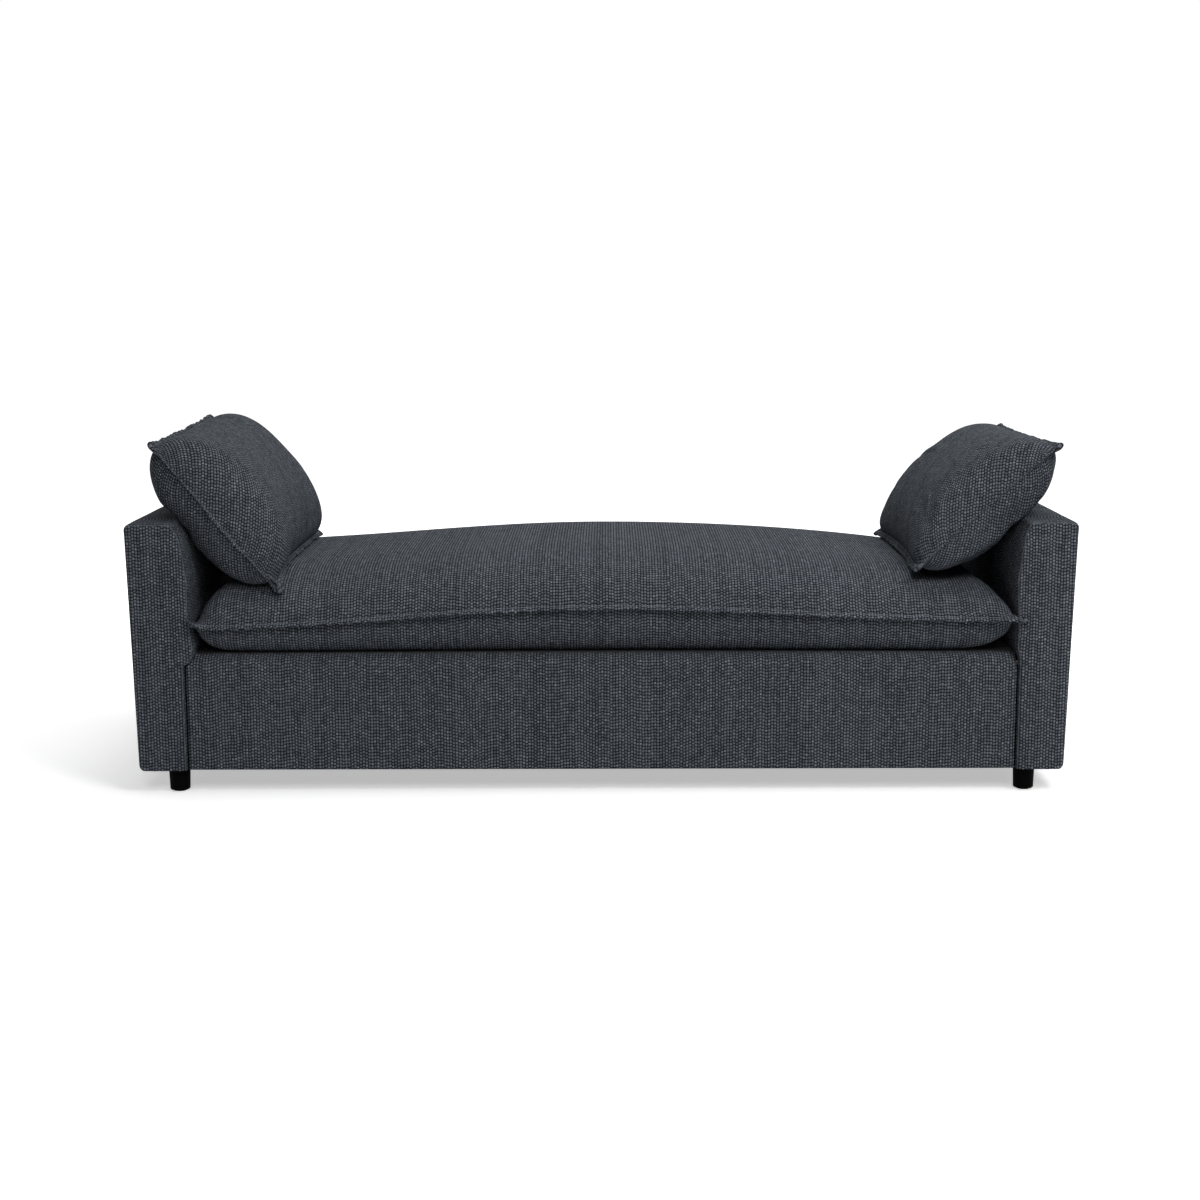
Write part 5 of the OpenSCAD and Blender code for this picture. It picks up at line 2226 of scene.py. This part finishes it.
    def laid_down(self, rings: Array) -> Array:
        """Flange whose edge sinks to the seat where it hangs close above it.

        A gap g under the edge becomes g times (0.12 + 0.88 of an ease from 8 to 34 mm).

        Args:
            rings: Rings of the flange, from one stitch line to the other.

        Returns:
            The rings laid down.
        """
        middle = 0.5 * (rings + rings[::-1])
        above = middle[..., 2] - self.seat.heights.at(middle)
        gap = np.maximum(above - self.flange_off, 0.0)
        eased = smooth_step(gap, *self.flange_span)
        kept = gap * (self.flange_kept + (1.0 - self.flange_kept) * eased)
        out = np.minimum(np.arange(9), np.arange(9)[::-1])[:, None] / 4.0
        laid = rings.copy()
        laid[..., 2] += (kept - gap) * out
        return laid

    def grids(self) -> tuple[Array, Array, Array]:
        """Front and back panel before the cloth run, and the direction across the seam.

        Returns:
            Front grid, back grid and directions.
        """
        hh = 0.5 * self.height - self.border
        hl = 0.5 * self.length - self.border
        places = crowded(self.rows, *self.crowd_h), crowded(self.columns, *self.crowd_l)
        u, v = np.meshgrid(*places, indexing="ij")
        draw = np.where(u > 0.0, self.draw_top, self.draw)
        h = 0.5 * self.height + hh * u * (1.0 - draw / hh * (1.0 - v**2))
        l = hl * v * (1.0 - self.draw / hl * (1.0 - u**2))
        full = self.full(u, v, self.sag, self.power_h, self.power_foot)
        full_back = self.full(u, v, self.sag_back, self.power_back, self.power_back_foot)
        dented = sum((dent.depth(h, l) for dent in self.dents), np.zeros_like(h))
        front = self.front * full - dented * np.minimum(full * 2.0, 1.0)
        _, off = self.axes()
        across = np.array([off[0] * self.side.value, 0.0, off[1]])
        faces = (self.place(h, l, s) for s in (front, -self.back * full_back))
        return *faces, np.broadcast_to(across, (*h.shape, 3))

    def build(self) -> None:
        """Makes the pillow, its stitches and its filling, and dresses them."""
        word = self.side.word
        top, low, up = self.grids()
        moved_top, moved_low = self.inflation.folds(top, low, f"{word}_pillow_run")
        top = top + relief(moved_top, self.relief_cells, self.relief_share)
        low = low + relief(moved_low, self.relief_cells, self.relief_share)
        form = SewnForm(top, low, up, self.flange, self.cloth_turn)
        name, body = f"{word}_pillow_cover_sewn", f"{word}_pillow"
        pillow, rings = form.make(name, self.clear_of_seat, self.laid_down)
        subdivided(pillow)
        dress(pillow, PILLOW_CLOTH, body, [f"{word}_pillow_cover"])
        stitches = self.sewing.make(f"{word}_pillow_stitches", rings, ring_of(up))
        dress(stitches, PILLOW_THREAD, body)
        panels = Panels()
        below = self.clear_of_seat(low)
        for face in core_of(top, below, self.filling_wall, self.filling_margin):
            panels.add(face)
        dress(panels.sew(f"{word}_pillow_filling"), FIBRE, body, [f"{word}_pillow_insert"])


# ---------------------------------------------------------------- studio


@dataclass
class Studio:
    """Pale floor, white surround, soft lamps and the camera."""

    place: tuple[float, float, float] = (0.0171, -4.877, 1.180)
    pitch: float = 0.1619
    yaw: float = -0.0042
    roll: float = -0.0034
    lens: float = 58.5
    sensor: float = 36.0
    far: float = 60.0
    aim: tuple[float, float, float] = (0.0, 0.0, 0.3)
    floor_colour: Colour = (0.80, 0.80, 0.80)
    floor_x: tuple[float, float] = (-9.0, 9.0)
    floor_y: tuple[float, float] = (-9.0, 14.0)
    floor_reach: tuple[float, float] = (2.3, 1.5)
    floor_ease: tuple[float, float] = (0.72, 1.0)
    floor_glow: float = 0.47
    sky: float = 0.045
    lamps: tuple[tuple[str, tuple[float, float, float], float, float], ...] = (
        ("overhead lamp", (0.7, 0.6, 6.4), 4.6, 228.0),
        ("key lamp", (2.2, -3.0, 3.7), 1.6, 118.0),
        ("front lamp", (0.1, -8.8, 6.0), 2.2, 250.0),
        ("left lamp", (-3.8, 1.2, 2.6), 2.2, 18.0),
        ("right lamp", (3.8, 1.0, 2.6), 2.2, 26.0),
        ("back lamp", (0.0, 4.2, 2.6), 2.6, 30.0),
    )

    def camera(self) -> None:
        """Sets the camera: it looks along +Y, turned by yaw, tipped down by pitch, then rolled."""
        y, p, r = self.yaw, self.pitch, self.roll
        ahead = np.array([np.sin(y) * np.cos(p), np.cos(y) * np.cos(p), -np.sin(p)])
        right = np.array([np.cos(y), -np.sin(y), 0.0])
        up = np.cross(right, ahead)
        right_rolled = right * np.cos(r) + up * np.sin(r)
        up_rolled = up * np.cos(r) - right * np.sin(r)
        turn = np.stack([right_rolled, up_rolled, -ahead], 1)
        data = bpy.data.cameras.new("camera")
        data.lens = self.lens
        data.sensor_width = self.sensor
        data.clip_end = self.far
        camera = bpy.data.objects.new("camera", data)
        turned = Matrix(turn.tolist()).to_4x4()
        camera.matrix_world = Matrix.Translation(Vector(self.place)) @ turned
        bpy.context.scene.collection.objects.link(camera)
        bpy.context.scene.camera = camera

    def lamp(self, name: str, place: Sequence[float], size: float, power: float) -> None:
        """Adds a square soft lamp that points at the sofa.

        Args:
            name: Its name.
            place: Where it hangs.
            size: Its side in metres.
            power: Its power in watts.
        """
        data = bpy.data.lights.new(name, "AREA")
        data.size = size
        data.energy = power
        lamp = bpy.data.objects.new(name, data)
        lamp.location = place
        ahead = Vector(self.aim) - Vector(place)
        lamp.rotation_euler = ahead.to_track_quat("-Z", "Y").to_euler()
        bpy.context.scene.collection.objects.link(lamp)

    def surround(self) -> None:
        """Sets the world: white where it is seen or mirrored, and a dimmer even light elsewhere."""
        world = bpy.data.worlds.new("surround")
        bpy.context.scene.world = world
        world.use_nodes = True
        world.node_tree.nodes.clear()
        graph = Graph(world.node_tree)
        sky = graph.node("Background")
        graph.put(sky.inputs["Color"], (1.0, 1.0, 1.0, 1.0))
        strength = graph.line(graph.seen_white(), 1.0 - self.sky, self.sky)
        graph.put(sky.inputs["Strength"], strength)
        leave = graph.node("OutputWorld")
        graph.put(leave.inputs["Surface"], sky.outputs[0])

    def floor(self) -> None:
        """Makes the floor: a pale plane that keeps the shadow and is seen as white beyond it."""
        panels = Panels()
        edges = (np.linspace(*ends, 3) for ends in (self.floor_x, self.floor_y))
        x, y = np.meshgrid(*edges, indexing="ij")
        panels.add(np.stack([x, y, np.zeros_like(x)], -1))
        plane = panels.sew("floor", outward=False)
        made = bpy.data.materials.new("pale floor")
        made.use_nodes = True
        made.node_tree.nodes.clear()
        graph = Graph(made.node_tree)
        x, y, _ = graph.parts(graph.solid())
        across, deep = (
            graph.math("DIVIDE", way, reach) for way, reach in zip((x, y), self.floor_reach)
        )
        away = graph.plus(graph.times(across, across), graph.times(deep, deep))
        far = graph.ramp(graph.math("SQRT", away), *self.floor_ease)
        paint = graph.node("BsdfDiffuse")
        paint.inputs["Color"].default_value = (*self.floor_colour, 1.0)
        glow = graph.node("Emission")
        strength = graph.line(far, 1.0 - self.floor_glow, self.floor_glow)
        graph.put(glow.inputs["Strength"], graph.times(graph.seen_white(), strength))
        both = graph.node("AddShader")
        graph.put(both.inputs[0], paint.outputs[0])
        graph.put(both.inputs[1], glow.outputs[0])
        leave = graph.node("OutputMaterial")
        graph.put(leave.inputs["Surface"], both.outputs[0])
        plane.data.materials.append(made)

    def build(self) -> None:
        """Builds the floor, the surround and the lamps."""
        bpy.context.scene.view_settings.view_transform = "Standard"
        self.floor()
        self.surround()
        for name, place, size, power in self.lamps:
            self.lamp(name, place, size, power)


def left_arm() -> Arm:
    """Left arm as photographed: its inner face bulges out just under the seat's edge."""
    return Arm(
        Side.LEFT,
        inner_z=(0.292, 0.304, 0.314, 0.329, 0.360, 0.430, 0.500, 0.567, 0.603, 0.635),
        inner=(0.967, 0.967, 0.948, 0.943, 0.942, 0.950, 0.948, 0.956, 0.965, 0.980),
        soft=2.0 * MM, half_w=1092.7 * MM,
    )


def right_arm() -> Arm:
    """Right arm as photographed: it leans out a little more than the left one."""
    return Arm(Side.RIGHT, half_w=1094.5 * MM, lean=17.0 * MM, soft=3.5 * MM)


def left_pillow(seat: SeatCushion) -> Pillow:
    """Left pillow: higher and limper than the right one, with a wavier border.

    Args:
        seat: The cushion that it rests on.

    Returns:
        The pillow.
    """
    return Pillow(
        Side.LEFT, seat, lean=50.9, room=82.0 * MM, forward=71.9 * MM, dip=18.6 * MM,
        length=715.0 * MM, height=462.7 * MM, front=113.7 * MM, back=102.2 * MM,
        foot_z=468.7 * MM, power_h=2.52, power_foot=1.64, power_back=1.90, power_back_foot=2.77,
        slack=44.0 * MM, power_l=10.2, sag=-0.076, sag_back=-0.013, draw=3.4 * MM,
        flange=Flange(
            width=12.0 * MM, half=2.0 * MM, droop=0.0, wave=3.6 * MM, wave_length=62.0 * MM,
            edge_wave=2.2 * MM, ear=1.05, curl=2.3, seed=12,
            pulls=((-0.7515, -0.4174, 0.024, 0.010, 0.002, 0.013),),
        ),
    )


def right_pillow(seat: SeatCushion) -> Pillow:
    """Right pillow: plumper, with three soft hollows and a narrow border along its front.

    Args:
        seat: The cushion that it rests on.

    Returns:
        The pillow.
    """
    return Pillow(
        Side.RIGHT, seat, lean=41.7, room=81.7 * MM, forward=71.7 * MM, dip=-7.5 * MM,
        length=714.0 * MM, height=445.0 * MM, front=99.0 * MM, back=106.5 * MM,
        foot_z=512.1 * MM, power_h=2.32, power_foot=1.61, power_back=1.80, power_back_foot=2.00,
        slack=24.6 * MM, power_l=9.1, sag=-0.052, sag_back=-0.054, draw=12.4 * MM,
        dents=(
            Dent(0.345, -0.265, 0.030, 0.060, 6.0 * MM, 0.5),
            Dent(0.115, -0.260, 0.035, 0.070, 7.0 * MM, -0.4),
            Dent(0.215, -0.295, 0.024, 0.050, 5.0 * MM, 0.9),
        ),
        flange=Flange(
            width=12.0 * MM, half=1.9 * MM, droop=0.0, wave=1.8 * MM, wave_length=80.0 * MM,
            edge_wave=1.0 * MM, ear=1.1, curl=2.3, narrow_front=0.62, seed=7,
        ),
    )


def main() -> None:
    """Builds the sofa piece by piece, and the studio round it."""
    logging.basicConfig(level=logging.INFO, format="%(message)s")
    studio = Studio()
    studio.camera()
    dress_frame()
    left_arm().build()
    right_arm().build()
    for end in End:
        BasePanel(end).build()
    Linings().build()
    Legs().build()
    seat = SeatCushion()
    seat.build()
    left_pillow(seat).build()
    right_pillow(seat).build()
    studio.build()


if __name__ == "__main__":
    main()
